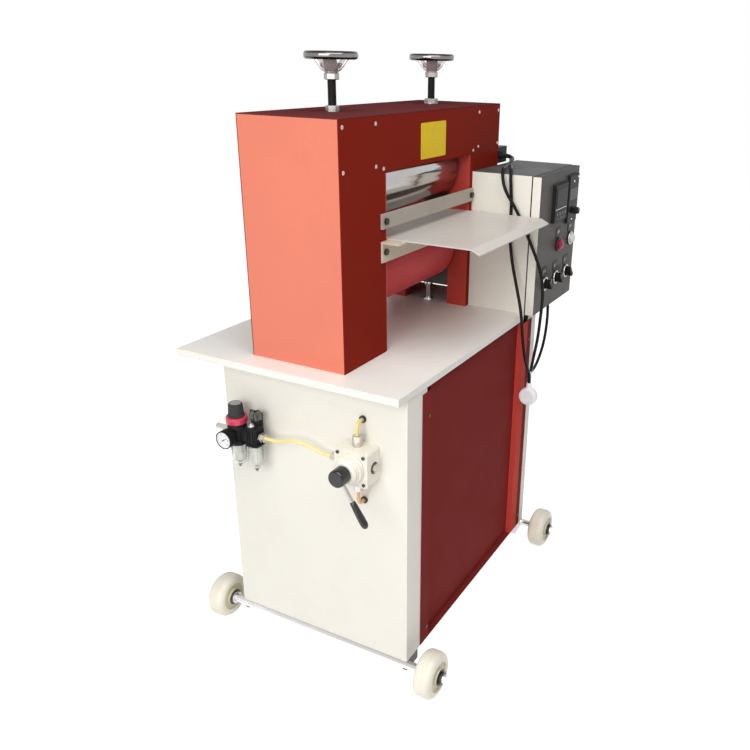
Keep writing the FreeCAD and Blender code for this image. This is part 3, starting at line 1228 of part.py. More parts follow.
def tube(name, points, radius):
    """A tube of straight runs joined by tangent arcs, each as large as its runs allow."""
    spots = [Vector(*point) for point in points]
    edges, radii, start = [], [], spots[0]
    for before, corner, after in zip(spots, spots[1:], spots[2:]):
        back, ahead = before - corner, after - corner
        turn = math.pi - back.getAngle(ahead)
        reach = 0.45 * min(back.Length, ahead.Length)
        arc_start = corner + back.normalize() * reach
        arc_stop = corner + ahead.normalize() * reach
        bend = reach / math.tan(turn / 2)
        middle_way = (arc_start + arc_stop) * 0.5 - corner
        away = math.hypot(bend, reach) - bend
        arc_middle = corner + middle_way.normalize() * away
        edges.append(Part.LineSegment(start, arc_start).toShape())
        edges.append(Part.Arc(arc_start, arc_middle, arc_stop).toShape())
        radii.append(bend)
        start = arc_stop
    edges.append(Part.LineSegment(start, spots[-1]).toShape())
    path = Part.Wire(edges)
    ring = Part.Wire([Part.Circle(spots[0], spots[1] - spots[0], radius).toShape()])
    shape = path.makePipeShell([ring], True, False)
    solid = doc.addObject("Part::Feature", name)
    solid.Shape = shape
    share = shape.Volume / (math.pi * radius ** 2 * path.Length)
    print(name, "length", round(path.Length, 1), "radii", [round(bend) for bend in radii],
          "volume share", round(share, 4))
    return solid


# Routes of the cords, each corner measured from the control box's top left back corner

MAINS_ROUTE = [
    (224, 16.7, -162), (224, 44, -158), (226, 62, -132), (228, 68, -86), (230, 60, -38), (231, 36, 0),
    (231, 4, 19), (200, -20, 13), (148, -40, 5), (98, -63, 4.5), (48, -86, 7), (8, -101, 14),
    (-13, -108, -2), (-11, -110, -32), (-4.5, -111, -66), (-9, -112, -113), (-11, -115, -163),
    (-18, -127, -215), (-32, -148, -270), (-52, -172, -326), (-62, -183, -384), (-54, -188, -436),
    (-30, -188, -478), (-3, -188, -510), (-3, -188, -533.7)]

HEATER_ROUTE = [
    (167, -8.4, 24.5), (167, -28, 23.5), (150, -47, 21), (117, -55, 17), (78, -60, 11), (36, -70, 8),
    (6, -80, 14), (-15, -87, -2), (-21, -98, -36), (-13, -126, -78), (-12, -150, -122), (-11, -176, -172),
    (-12, -203, -228), (-12, -213, -286), (-12, -210, -344), (-12, -207, -400), (-16, -201, -450),
    (-14, -194, -494), (22, -187, -508), (74, -182, -494), (126, -175, -466), (176, -163, -430),
    (206, -153, -392), (207.9, -150.1, -367.7)]


def cords():
    """The mains cord with its plug, and the heater's cable back to the control box."""
    corner = Vector(number("boxface"), number("boxback"), number("boxtop"))
    for name, route in (("mains_cord", MAINS_ROUTE), ("heater_cable", HEATER_ROUTE)):
        points = [tuple(corner + Vector(*step)) for step in route]
        node(name, tube(name, points, number("cordradius")))
        print(name, "route", [tuple(round(value, 1) for value in point) for point in points])
    across, out, down = MAINS_ROUTE[-1]
    middle, depth = f"boxface + {across}", f"boxback + {out}"
    height = f"boxtop + {down} - plugneck - plugradius"
    body = rod("plug_round", "plugradius", "plugthick", f"{middle} - plugthick/2", depth, height, "+X")
    body = rounded("plug_body", body, "pinradius", lambda edge: edge.Closed)
    neck = rod("plug_neck", "necktube", "plugneck + plugradius/2", middle, depth,
               f"{height} + plugradius/2")
    pins = [rod(f"plug_pin_{way}", "pinradius", "pinlong + plugthick/4", f"{middle} + plugthick/4",
                f"{depth} {way} pinspace/2", height, "+X") for way in "+-"]
    node("mains_plug", fuse("mains_plug", body, neck, *pins))


def screws():
    """Panel screws of the head and the front cover, and black bolts on the feed parts."""
    heads = []

    def screw(x, y, z, axis):
        heads.append(turned(f"screw_{len(heads)}",
                            [("0", "0"), ("screwradius", "0"), ("screwradius", "screwhigh/2"),
                             ("screwradius*0.6", "screwhigh"), ("0", "screwhigh")], x, y, z, axis))

    def bolt(x, y, z, axis):
        heads.append(hexagon(f"bolt_{len(heads)}", "boltflats", "bolthigh", x, y, z, axis))
    upper, lower = "headtop - screwrow", "headtop - screwrow - rowspace"
    for y, axis in (("headfront", "-Y"), ("headback", "+Y")):
        for way in "-+":
            for reach in ("headwidth/2 - screwinset", "windowwide/2 + plateout"):
                for z in (upper, lower):
                    screw(f"headx {way} ({reach})", y, z, axis)
            screw(f"headx {way} (windowwide/2 + cornerscrew)", y, "windowtop + cornerscrew", axis)
    for x in ("coverleft + rimleft/2 + cornerscrew", "coverright - 2*cornerscrew"):
        for z in ("cabinetfoot + 5*cornerscrew", "tableunder - 10*cornerscrew"):
            screw(x, "frontface - sheet", z, "-Y")
    middle = "guardfoot + guardhigh/2"
    for x in ("barleft + boltflats", "barright - boltflats"):
        bolt(x, "headfront - guardthick", middle, "-Y")
        bolt(x, "headfront - anglethick", "feedtop - feedthick - angledown/2", "-Y")
    node("panel_fasteners", group("panel_fasteners", *heads))


def main():
    cabinet()
    front_cover()
    running_gear()
    table()
    side_plates()
    blocks("upper_blocks", "uppercentre", "upperblockup", "upperblockdown", True)
    blocks("lower_blocks", "lowercentre", "lowerblockup", "lowerblockdown", False)
    upper_roller()
    lower_roller()
    gear_motor()
    lift()
    gap_screws()
    head_covers()
    feed()
    control_box()
    instruments()
    control_gear()
    heat_box()
    air_unit()
    hand_valve()
    air_lines()
    screws()
    cords()
    doc.recompute()
    check()
    os.makedirs("parts", exist_ok=True)
    for name, solid in nodes.items():
        solid.Shape.exportStep(f"parts/{name}.step")
    print(len(nodes), "nodes")


def check():
    """Stops before anything is written if an object failed."""
    for thing in doc.Objects:
        if "Invalid" in thing.State or "Error" in thing.State:
            raise RuntimeError(f"{thing.Name} failed: {thing.State}")
    for name, solid in nodes.items():
        if solid.Shape.isNull() or not solid.Shape.isValid() or not solid.Shape.Solids:
            raise RuntimeError(f"{name} has no valid solid")


main()
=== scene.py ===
"""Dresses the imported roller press: materials, detail pieces, cords, light and camera."""
import math

import bmesh
import bpy
from mathutils import Matrix, Vector


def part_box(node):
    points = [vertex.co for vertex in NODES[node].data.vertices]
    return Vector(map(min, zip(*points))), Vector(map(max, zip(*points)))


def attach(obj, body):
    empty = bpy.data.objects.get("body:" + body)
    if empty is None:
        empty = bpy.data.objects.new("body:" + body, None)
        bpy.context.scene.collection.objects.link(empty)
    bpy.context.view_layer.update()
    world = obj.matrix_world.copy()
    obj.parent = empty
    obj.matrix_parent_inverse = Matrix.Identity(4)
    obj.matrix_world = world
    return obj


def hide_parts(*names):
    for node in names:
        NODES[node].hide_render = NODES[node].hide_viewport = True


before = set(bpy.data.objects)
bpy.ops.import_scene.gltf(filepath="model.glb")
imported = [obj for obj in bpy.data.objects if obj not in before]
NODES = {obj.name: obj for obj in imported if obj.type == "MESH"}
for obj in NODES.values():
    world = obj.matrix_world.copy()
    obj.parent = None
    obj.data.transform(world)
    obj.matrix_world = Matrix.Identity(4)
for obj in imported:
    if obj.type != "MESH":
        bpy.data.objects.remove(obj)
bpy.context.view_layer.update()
MM = 0.001

# Places in millimetres, in the frame that the CAD uses.
WHEEL_X = {"left": -389.85, "right": 302.15}
WHEEL_Z = 55.0
SCREW_X = {"left": -221.85, "right": 206.15}
SCREW_Y = 40.0
AIR_X = -431.85
REGULATOR = (AIR_X, 176.0)
LUBRICATOR = (AIR_X, 128.0)
GAUGE = (176.0, 565.0)
BOWL_FOOT = 491.0
OIL_SCREW = (-423.1, 128.0, 591.0)
SIGHT_GLASS = (-440.6, 128.0, 591.0)
PORT_Z = 569.0
VALVE = (-132.0, 562.5)
BUTTON_X = (358.15, 452.15)
BUTTON_Z = 893.0
SELECTOR_X = (271.15, 352.15, 433.15)
SELECTOR_Z = 805.0
PLUG = (205.15, -268.0, 511.3)

# ---- camera


def photo_camera():
    """The camera solved from the photograph: place in metres, rows right, down and forward."""
    data = bpy.data.cameras.new("photo_camera")
    camera = bpy.data.objects.new("photo_camera", data)
    bpy.context.scene.collection.objects.link(camera)
    right = Vector((0.46517, -0.88504, 0.01763))
    down = Vector((-0.32956, -0.19163, -0.92448))
    ahead = Vector((0.82159, 0.42424, -0.38081))
    turn = Matrix((right, -down, -ahead)).transposed().to_4x4()
    camera.matrix_world = Matrix.Translation((-1.62715, -0.9377, 1.3417)) @ turn
    data.sensor_width = 36
    data.lens = 37.72
    data.shift_x = -0.0824
    data.shift_y = 0.0101
    data.clip_start = 0.05
    data.clip_end = 50
    bpy.context.scene.camera = camera


# ---- materials


class Graph:
    """Wires the nodes of one material, or of the world."""

    def __init__(self, owner):
        owner.use_nodes = True
        self.owner = owner
        self.tree = owner.node_tree

    def fill(self, node, inputs):
        """Sets a node's inputs, by name or number, to values or to other nodes' outputs."""
        for key, value in inputs.items():
            socket = node.inputs[key]
            if isinstance(value, tuple):
                socket.default_value = (*value, 1.0) if socket.type == "RGBA" else value
            elif isinstance(value, (int, float)):
                socket.default_value = value
            else:
                self.tree.links.new(value, socket)
        return node

    def node(self, kind, inputs=None, **settings):
        made = self.tree.nodes.new("ShaderNode" + kind)
        for key, value in settings.items():
            setattr(made, key, value)
        return self.fill(made, inputs or {})

    def shade(self, inputs):
        """Sets the inputs of the material's shader."""
        self.fill(self.tree.nodes["Principled BSDF"], inputs)

    def place(self, stretch=(1, 1, 1)):
        """Object coordinates, stretched for brushed or drawn surfaces."""
        coords = self.node("TexCoord").outputs["Object"]
        return self.node("Mapping", {"Vector": coords, "Scale": stretch}).outputs["Vector"]

    def noise(self, vector, scale, detail=3.0, rough=0.5):
        inputs = {"Vector": vector, "Scale": scale, "Detail": detail, "Roughness": rough}
        return self.node("TexNoise", inputs).outputs["Fac"]

    def span(self, value, low, high, start=0.3, stop=0.7):
        """Takes start to stop over to low to high."""
        inputs = {"Value": value, "From Min": start, "From Max": stop, "To Min": low,
            "To Max": high}
        return self.node("MapRange", inputs).outputs["Result"]

    def math(self, operation, *values, clamp=False):
        inputs = dict(enumerate(values))
        return self.node("Math", inputs, operation=operation, use_clamp=clamp).outputs[0]

    def blend(self, share, first, second, kind="MIX"):
        """A mix of two colours."""
        inputs = {0: share, 6: first, 7: second}
        return self.node("Mix", inputs, data_type="RGBA", blend_type=kind).outputs[2]

    def mixed(self, share, first, second):
        """A mix of two plain numbers."""
        inputs = {0: share, 2: first, 3: second}
        return self.node("Mix", inputs, data_type="FLOAT").outputs[0]

    def inside(self, region):
        """One inside a region in millimetres: between planes, as "Z>935.0 Z<1055.0", or round a
        line along Y, as (x, z, radius)."""
        coords = self.node("TexCoord").outputs["Object"]
        parts = self.node("SeparateXYZ", {"Vector": coords}).outputs
        if isinstance(region, tuple):
            squares = []
            for axis, centre in zip("XZ", region):
                shift = self.math("SUBTRACT", parts[axis], centre * MM)
                squares.append(self.math("MULTIPLY", shift, shift))
            away = self.math("SQRT", self.math("ADD", *squares))
            return self.math("LESS_THAN", away, region[2] * MM)
        result = None
        for test in region.split():
            kind = "GREATER_THAN" if test[1] == ">" else "LESS_THAN"
            found = self.math(kind, parts[test[0]], float(test[2:]) * MM)
            result = found if result is None else self.math("MULTIPLY", result, found)
        return result


def surface(name, colour, rough=0.4, metal=0.0, vary=0.05, vary_scale=4.0, grain=0.02,
        grain_scale=180.0, bump=0.12, bump_scale=400.0, rough_vary=0.05, stretch=(1, 1, 1),
        dirt=None, specular=0.5, patches=()):
    """One procedural material: colour drift, grain, wear, uneven gloss and a fine bump.

    dirt holds (colour, share, scale). patches hold (region, colour, roughness, metallic) for what
    is finished differently on the piece, and for light and shade painted on it."""
    graph = Graph(bpy.data.materials.new(name))
    place = graph.place(stretch)
    drift = graph.span(graph.noise(place, vary_scale, 4.0), 1 - vary, 1 + vary)
    fine = graph.span(graph.noise(place, grain_scale, 2.0), 1 - grain, 1 + grain)
    shade = graph.math("MULTIPLY", drift, fine)
    body, gloss, metallic = colour, rough, metal
    for region, patch_colour, patch_rough, patch_metal in patches:
        share = graph.inside(region)
        body = graph.blend(share, body, patch_colour)
        gloss = graph.mixed(share, gloss, patch_rough)
        metallic = graph.mixed(share, metallic, patch_metal)
    if dirt:
        dirt_colour, dirt_share, dirt_scale = dirt
        spread = graph.span(graph.noise(place, dirt_scale, 8.0, 0.65), 0.0, dirt_share, 0.5, 0.75)
        body = graph.blend(spread, body, dirt_colour)
    grey = graph.node("CombineColor", dict.fromkeys(("Red", "Green", "Blue"), shade))
    uneven = graph.span(graph.noise(place, vary_scale * 5, 5.0, 0.6), -rough_vary, rough_vary)
    graph.shade({"Base Color": graph.blend(1.0, body, grey.outputs["Color"], "MULTIPLY"),
        "Metallic": metallic, "Roughness": graph.math("ADD", gloss, uneven, clamp=True),
        "Specular IOR Level": specular})
    if bump:
        height = graph.noise(place, bump_scale, 3.0)
        relief = graph.node("Bump", {"Strength": bump, "Distance": 0.0002, "Height": height})
        graph.shade({"Normal": relief.outputs["Normal"]})
    return graph.owner


def clear(name, colour, rough=0.08, share=0.85):
    """Clear plastic or glass: mostly transmitting, slightly tinted and scuffed."""
    graph = Graph(bpy.data.materials.new(name))
    place = graph.place()
    darker = tuple(min(1.0, channel * 0.95) for channel in colour)
    graph.shade({"Base Color": graph.blend(graph.span(graph.noise(place, 40.0), 0.0, 1.0), darker,
        colour), "Transmission Weight": share, "IOR": 1.45,
        "Roughness": graph.span(graph.noise(place, 90.0, 5.0), rough * 0.6, rough * 1.6)})
    return graph.owner


RUST = (0.22, 0.055, 0.035)
CREAM = (0.80, 0.775, 0.70)
DARK = (0.105, 0.096, 0.090)
STEEL = (0.62, 0.61, 0.60)
CREAM_WEAR = (0.58, 0.53, 0.43)
BUTTON_RED = (0.33, 0.006, 0.032)
# Settings of patches: colour, roughness and metallic, for finishes and for a painted shadow.
HANGER = ((0.075, 0.060, 0.048), 0.5, 0.0)
COLLAR = ((0.05, 0.04, 0.03), 0.4, 0.7)
# Painted shadow: near-black for the air fittings at the cabinet side.
FITTING_SHADOW = ((0.015, 0.014, 0.014), 0.4, 0.0)
GREY_TOP = ((0.064, 0.063, 0.066), 0.55, 0.0)


def nylon(side):
    """Cream nylon, darker and yellower within 34.6 mm of the wheel's centre."""
    return surface(f"cream_nylon_{side}", (0.82, 0.78, 0.66), 0.36, vary=0.05, bump=0.12,
        dirt=((0.50, 0.44, 0.30), 0.35, 20.0), patches=[((WHEEL_X[side], WHEEL_Z, 34.6),
        (0.62, 0.58, 0.40), 0.42, 0.0)])


LOOKS = {
    # One red paint in three copies with light painted in: the head's front darkened as painted
    # shade, its ends paler as painted light with a painted sheen, and its top darker as painted
    # shade.
    "red": surface("red_enamel", (0.225, 0.017, 0.009), 0.42, vary=0.03, vary_scale=2.0,
        grain=0.012, bump=0.10, bump_scale=220.0, specular=0.01, dirt=(RUST, 0.06, 5.0)),
    "red_painted_lit_end": surface("red_enamel_painted_lit_end", (0.71, 0.20, 0.130), 0.45, vary=0.03, vary_scale=2.0,
        grain=0.012, bump=0.10, bump_scale=220.0, specular=0.30, dirt=(RUST, 0.08, 5.0)),
    "red_painted_shaded_top": surface("red_enamel_painted_shaded_top", (0.135, 0.034, 0.035), 0.55, vary=0.06, vary_scale=3.0,
        bump=0.10, specular=0.0, dirt=((0.13, 0.055, 0.050), 0.2, 6.0)),
    "jamb": surface("red_painted_plate", (0.50, 0.050, 0.036), 0.40, vary=0.06, bump=0.16,
        bump_scale=300.0, specular=0.35, dirt=((0.14, 0.045, 0.035), 0.35, 16.0)),
    # The front cover is the red paint darkened as painted shade. Between X 206.5 and 247 a paler
    # strip is a painted highlight on the fold lit from the left. Beyond X 247 the flange is painted
    # darker as shade. Below Z 70 the cover is darker towards the bottom.
    "cover": surface("front_red_enamel_painted_shade", (0.215, 0.026, 0.023), 0.50, vary=0.05, vary_scale=2.5,
        bump=0.1, bump_scale=220.0, specular=0.01, dirt=((0.30, 0.08, 0.07), 0.06, 3.0),
        patches=[("Z<70.0", (0.12, 0.015, 0.013), 0.5, 0.0), ("X>206.5", (0.60, 0.070, 0.050), 0.45,
        0.0), ("X>247.0", (0.18, 0.024, 0.020), 0.5, 0.0)]),
    "cream": surface("cream_enamel", CREAM, 0.42, vary=0.02, vary_scale=2.0, grain=0.008, bump=0.08,
        bump_scale=220.0, dirt=(CREAM_WEAR, 0.16, 6.0)),
    "table": surface("table_enamel", (0.84, 0.82, 0.77), 0.40, vary=0.02, vary_scale=3.0,
        grain=0.01, bump=0.06, bump_scale=200.0, specular=0.3, dirt=((0.64, 0.59, 0.50), 0.12,
        4.0)),
    "feed": surface("feed_plate_enamel", (0.58, 0.545, 0.50), 0.36, vary=0.02, vary_scale=4.0,
        bump=0.05, specular=0.3, dirt=((0.56, 0.52, 0.46), 0.12, 5.0)),
    "guard": surface("guard_enamel", (0.40, 0.36, 0.31), 0.38, vary=0.05, bump=0.1,
        dirt=((0.26, 0.23, 0.18), 0.35, 18.0)),
    "angle": surface("angle_enamel", (0.62, 0.53, 0.42), 0.40, vary=0.05, bump=0.1,
        dirt=((0.40, 0.33, 0.25), 0.35, 18.0)),
    "box": surface("control_box_enamel", CREAM, 0.45, vary=0.02, vary_scale=2.0, grain=0.008,
        bump=0.08, specular=0.15, dirt=(CREAM_WEAR, 0.14, 6.0), patches=[("Z>1082.6", *GREY_TOP),
        ("Y<-239.2 Z<1082.4", (0.03, 0.028, 0.027), 0.6, 0.0)]),
    "door": surface("door_enamel", CREAM, 0.42, vary=0.04, bump=0.12, bump_scale=300.0,
        specular=0.05, patches=[("Y<-264.2", DARK, 0.34, 0.0), ("Z>1081.4", *GREY_TOP)]),
    "black_steel": surface("black_steel", (0.030, 0.029, 0.028), 0.45, bump=0.2, bump_scale=300.0,
        specular=0.25, dirt=((0.09, 0.07, 0.05), 0.3, 14.0)),
    "motor": surface("motor_enamel", (0.14, 0.17, 0.20), 0.45, bump=0.2,
        dirt=((0.08, 0.07, 0.06), 0.3, 14.0)),
    "steel": surface("bright_steel", STEEL, 0.28, metal=1.0, vary=0.05, bump=0.1, bump_scale=700.0,
        dirt=((0.36, 0.31, 0.25), 0.3, 30.0)),
    "fasteners": surface("panel_screws", (0.50, 0.42, 0.40), 0.30, metal=1.0, bump=0.1,
        patches=[("Z>935.0 Z<1055.0", (0.020, 0.019, 0.018), 0.3, 0.3),
        ("Z<705.0", (0.022, 0.012, 0.010), 0.4, 0.0)]),
    "axle": surface("axle_steel", STEEL, 0.25, metal=1.0, bump=0.1,
        patches=[("Y<-224.8 Y>-237.4 X<0.0", *HANGER), ("Y>224.8 Y<237.4 X<0.0", *HANGER),
        ((WHEEL_X["left"], WHEEL_Z, 10.3), STEEL, 0.25, 1.0), ((WHEEL_X["right"], WHEEL_Z, 10.3),
        STEEL, 0.25, 1.0), ("Z<75.0 Y<-322.0 Y>-329.6", *COLLAR),
        ("Z<75.0 Y>322.0 Y<329.6", *COLLAR)]),
    "chrome": surface("hard_chrome", (0.50, 0.48, 0.475), 0.14, metal=1.0, vary=0.04, grain=0.01,
        bump=0.02, bump_scale=60.0, rough_vary=0.05, dirt=((0.26, 0.23, 0.20), 0.35, 5.0),
        stretch=(0.25, 1, 1)),
    "rod_chrome": surface("rod_chrome", (0.75, 0.74, 0.73), 0.12, metal=1.0, bump=0.02),
    "alloy": surface("drawn_alloy", (0.60, 0.60, 0.60), 0.32, metal=1.0, bump=0.08,
        bump_scale=500.0, stretch=(1, 1, 0.15)),
    "iron": surface("block_iron", (0.09, 0.085, 0.08), 0.5, metal=0.5, bump=0.3, bump_scale=300.0,
        dirt=((0.15, 0.09, 0.05), 0.35, 14.0)),
    "silicone": surface("red_silicone", (0.66, 0.066, 0.076), 0.46, specular=0.25, vary=0.05,
        grain=0.04, grain_scale=90.0, bump=0.12, bump_scale=240.0,
        dirt=((0.60, 0.17, 0.17), 0.25, 12.0)),
    "black": surface("black_plastic", (0.020, 0.020, 0.021), 0.40, bump=0.15, bump_scale=900.0,
        specular=0.06, dirt=((0.07, 0.065, 0.06), 0.25, 40.0)),
    "knob": surface("ribbed_knob_plastic", (0.046, 0.043, 0.045), 0.42, bump=0.15, bump_scale=700.0,
        specular=0.1),
    "gloss_black": surface("gloss_black_plastic", (0.012, 0.012, 0.013), 0.24, bump=0.03,
        rough_vary=0.04, specular=0.05),
    "screen": surface("dark_window", (0.014, 0.012, 0.018), 0.16, bump=0.0, grain=0.01,
        rough_vary=0.02, specular=0.06),
    "grey_plastic": surface("grey_plastic", (0.20, 0.20, 0.21), 0.45, bump=0.15),
    "key_grey": surface("key_plastic", (0.09, 0.09, 0.10), 0.4, bump=0.1, specular=0.2),
    "white": surface("white_plastic", (0.90, 0.91, 0.93), 0.30, vary=0.02, grain=0.01, bump=0.05,
        dirt=((0.64, 0.61, 0.55), 0.15, 14.0)),
    "button_white": surface("white_button_plastic", (0.72, 0.72, 0.71), 0.22, vary=0.02, bump=0.04),
    "red_plastic": surface("red_plastic", BUTTON_RED, 0.16, vary=0.04, bump=0.04, specular=0.35),
    "ring": surface("red_ring_plastic", (0.62, 0.045, 0.10), 0.30, vary=0.05, bump=0.08),
    "bezels": surface("bezel_finish", (0.020, 0.020, 0.021), 0.40, bump=0.08, specular=0.15,
        patches=[("Y<-267.2", (0.50, 0.49, 0.48), 0.24, 1.0), ("X>338.0 X<378.0 Z>872.0 Z<914.0",
        (0.045, 0.030, 0.033), 0.3, 0.2), ((BUTTON_X[0], BUTTON_Z, 15.6), BUTTON_RED, 0.2, 0.0)]),
    "yellow": surface("yellow_plate", (0.80, 0.56, 0.020), 0.38, vary=0.04, bump=0.06,
        specular=0.08, dirt=((0.50, 0.27, 0.04), 0.25, 24.0)),
    "tube": surface("amber_tube", (0.86, 0.70, 0.27), 0.2, vary=0.05, bump=0.02, vary_scale=20.0,
        patches=[("Z<525.0", (0.82, 0.47, 0.21), 0.2, 0.0)]),
    "cord": surface("black_cord", (0.012, 0.011, 0.010), 0.30, vary=0.08, bump=0.1,
        bump_scale=500.0, specular=0.08, dirt=((0.03, 0.026, 0.024), 0.25, 60.0)),
    "mark": surface("white_marking", (0.78, 0.78, 0.76), 0.5, vary=0.02, grain=0.01, bump=0.0),
    "mark_black": surface("black_marking", (0.02, 0.02, 0.02), 0.5, vary=0.02, grain=0.01,
        bump=0.0),
    "dial": surface("dial_white", (0.90, 0.90, 0.89), 0.35, vary=0.01, grain=0.01, bump=0.0),
    "bowl": clear("clear_bowl", (0.90, 0.91, 0.88)),
    "glass": clear("dial_glass", (0.97, 0.98, 0.98), 0.03, 0.96),
    "wheel_left": nylon("left"),
    "wheel_right": nylon("right"),
    # The rim's chrome is darkened as a painted reflection of dark surroundings. Its bands above Z
    # 1348.6 and below Z 1341.9 are painted darker still, as painted reflection.
    "rim_chrome_painted_dark_reflection": surface("rim_chrome_painted_dark_reflection", (0.24, 0.235, 0.232), 0.16, metal=1.0, vary=0.10,
        vary_scale=30.0, bump=0.03, rough_vary=0.03, patches=[("Z>1348.6", (0.035, 0.034, 0.034),
        0.22, 1.0), ("Z<1341.9", (0.07, 0.067, 0.065), 0.22, 1.0)]),
    "hub_chrome": surface("hub_chrome", (0.58, 0.54, 0.53), 0.34, metal=0.4, vary=0.10,
        vary_scale=30.0, bump=0.06, rough_vary=0.05),
    "screw_black": surface("screw_black", (0.016, 0.014, 0.013), 0.38, bump=0.05, specular=0.08),
    "nut_steel": surface("nut_steel", (0.40, 0.385, 0.37), 0.34, metal=1.0, vary=0.12,
        vary_scale=40.0, bump=0.1, dirt=((0.20, 0.16, 0.13), 0.35, 60.0)),
    "plug_white": surface("plug_plastic", (0.95, 0.96, 0.98), 0.25, vary=0.02, grain=0.01,
        bump=0.04),
    "oil_knob": surface("oil_knob_plastic", (0.060, 0.064, 0.052), 0.22, bump=0.04, vary=0.25,
        vary_scale=60.0, specular=0.5),
    "knob_top": surface("knob_top_plastic", (0.26, 0.26, 0.265), 0.45, bump=0.08),
    "valve": surface("valve_enamel", (0.80, 0.77, 0.68), 0.40, vary=0.03, bump=0.1,
        dirt=((0.50, 0.44, 0.32), 0.22, 24.0)),
    "lever_black": surface("lever_plastic", (0.010, 0.010, 0.010), 0.12, bump=0.01, rough_vary=0.02,
        specular=0.5),
    "lever_steel": surface("lever_steel", (0.42, 0.41, 0.40), 0.22, metal=1.0, bump=0.04),
    # The fittings' patches beyond X -399, above Z 644 and below Z 474, are painted shadow.
    "fittings": surface("fitting_metal", (0.58, 0.54, 0.50), 0.26, metal=1.0, vary=0.06, bump=0.08,
        dirt=((0.36, 0.30, 0.22), 0.3, 40.0), patches=[("X>-399.0 Z>644.0", *FITTING_SHADOW),
        ("X>-399.0 Z<474.0", *FITTING_SHADOW), ("X>-424.0 Y>100.0 Y<196.0", (0.05, 0.048, 0.046), 0.45,
        0.0)]),
}

NODES_OF_LOOK = {
    "cream": "cabinet_sides cabinet_back_panel cabinet_floor",
    "cover": "front_cover",
    "axle": "axles",
    "wheel_left": "wheel_front_left wheel_back_left",
    "wheel_right": "wheel_front_right wheel_back_right",
    "table": "table_top",
    "black_steel": "bed_bars top_beam",
    "jamb": "side_plate_left side_plate_right",
    "red": "head_front_cover head_back_cover",
    "red_painted_lit_end": "head_end_covers",
    "red_painted_shaded_top": "head_top_cover",
    "fasteners": "panel_fasteners",
    "nut_steel": "gap_nuts",
    "guard": "guard_bar",
    "angle": "feed_angle",
    "feed": "feed_plate",
    "alloy": "lift_cylinders",
    "rod_chrome": "lift_rods",
    "box": "control_box",
    "door": "control_door",
    "grey_plastic": "control_gear",
    "black": "heater_terminal_box cable_glands regulator_body lubricator_head "
        "temperature_controller speed_controller speed_knob",
    "knob": "regulator_knob",
    "bowl": "filter_bowls",
    "gloss_black": "pressure_gauge selector_1 selector_2 selector_3",
    "fittings": "air_fittings",
    "tube": "air_tubes",
    "valve": "valve_body",
    "lever_black": "valve_lever",
    "cord": "mains_cord heater_cable",
    "white": "mains_plug",
    "iron": "upper_blocks lower_blocks",
    "motor": "gear_motor",
    "steel": "heater_rod lower_roller_core",
    "chrome": "upper_roller",
    "hub_chrome": "left_handwheel right_handwheel",
    "silicone": "lower_roller_cover",
    "bezels": "door_bezels",
    "red_plastic": "red_button",
    "button_white": "white_button",
}
LOOK_OF = {node: look for look, nodes in NODES_OF_LOOK.items() for node in nodes.split()}


def round_edges(thing, width, segments, angle):
    edge = thing.modifiers.new("edge", "BEVEL")
    edge.width = width
    edge.segments = segments
    edge.limit_method = "ANGLE"
    edge.angle_limit = math.radians(angle)
    edge.harden_normals = True


def dress_nodes():
    """Every CAD node gets its material, welded vertices and a small rolled edge."""
    for name, thing in NODES.items():
        thing.data.materials.clear()
        thing.data.materials.append(LOOKS[LOOK_OF[name]])
        weld = thing.modifiers.new("weld", "WELD")
        weld.merge_threshold = 0.00001
        round_edges(thing, 0.0006, 2, 40)


# ---- cords

CORNER = (208.15, -80.0, 1083.0)
MAINS_ROUTE = [(224, 16.7, -162), (224, 44, -158), (226, 62, -132), (228, 68, -86), (230, 60, -38),
    (231, 36, 0), (231, 4, 19), (200, -20, 13), (148, -40, 5), (98, -63, 4.5), (48, -86, 7),
    (8, -101, 14), (-13, -108, -2), (-11, -110, -32), (-4.5, -111, -66), (-9, -112, -113),
    (-11, -115, -163), (-18, -127, -215), (-32, -148, -270), (-52, -172, -326), (-62, -183, -384),
    (-54, -188, -436), (-30, -188, -478), (-3, -188, -510), (-3, -188, -533.7)]
HEATER_ROUTE = [(167, -8.4, 24.5), (167, -28, 23.5), (150, -47, 21), (117, -55, 17), (78, -60, 11),
    (36, -70, 8), (6, -80, 14), (-15, -87, -2), (-21, -98, -36), (-13, -126, -78),
    (-12, -150, -122), (-11, -176, -172), (-12, -203, -228), (-12, -213, -286), (-12, -210, -344),
    (-12, -207, -400), (-16, -201, -450), (-14, -194, -494), (22, -187, -508), (74, -182, -494),
    (126, -175, -466), (176, -163, -430), (206, -153, -392), (207.9, -150.1, -367.7)]


def cord(name, route, radius, node):
    """A smooth free cord on its own control points, standing for its CAD tube."""
    points = [tuple((c + step) * MM for c, step in zip(CORNER, point)) for point in route]
    data = bpy.data.curves.new(name, "CURVE")
    data.dimensions = "3D"
    data.bevel_depth = radius
    data.bevel_resolution = 5
    data.use_fill_caps = True
    spline = data.splines.new("NURBS")
    spline.points.add(len(points) - 1)
    for spot, point in zip(spline.points, points):
        spot.co = (*point, 1.0)
    spline.order_u = 3
    spline.use_endpoint_u = True
    spline.resolution_u = 12
    thing = bpy.data.objects.new(name, data)
    bpy.context.scene.collection.objects.link(thing)
    data.materials.append(LOOKS["cord"])
    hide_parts(node)
    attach(thing, "root")
    return thing


# ---- detail pieces

FACINGS = {
    "-X": (Vector((0, -1, 0)), Vector((0, 0, 1))), "+X": (Vector((0, 1, 0)), Vector((0, 0, 1))),
    "-Y": (Vector((1, 0, 0)), Vector((0, 0, 1))), "+Y": (Vector((-1, 0, 0)), Vector((0, 0, 1))),
    "+Z": (Vector((1, 0, 0)), Vector((0, 1, 0))), "-Z": (Vector((-1, 0, 0)), Vector((0, 1, 0))),
}


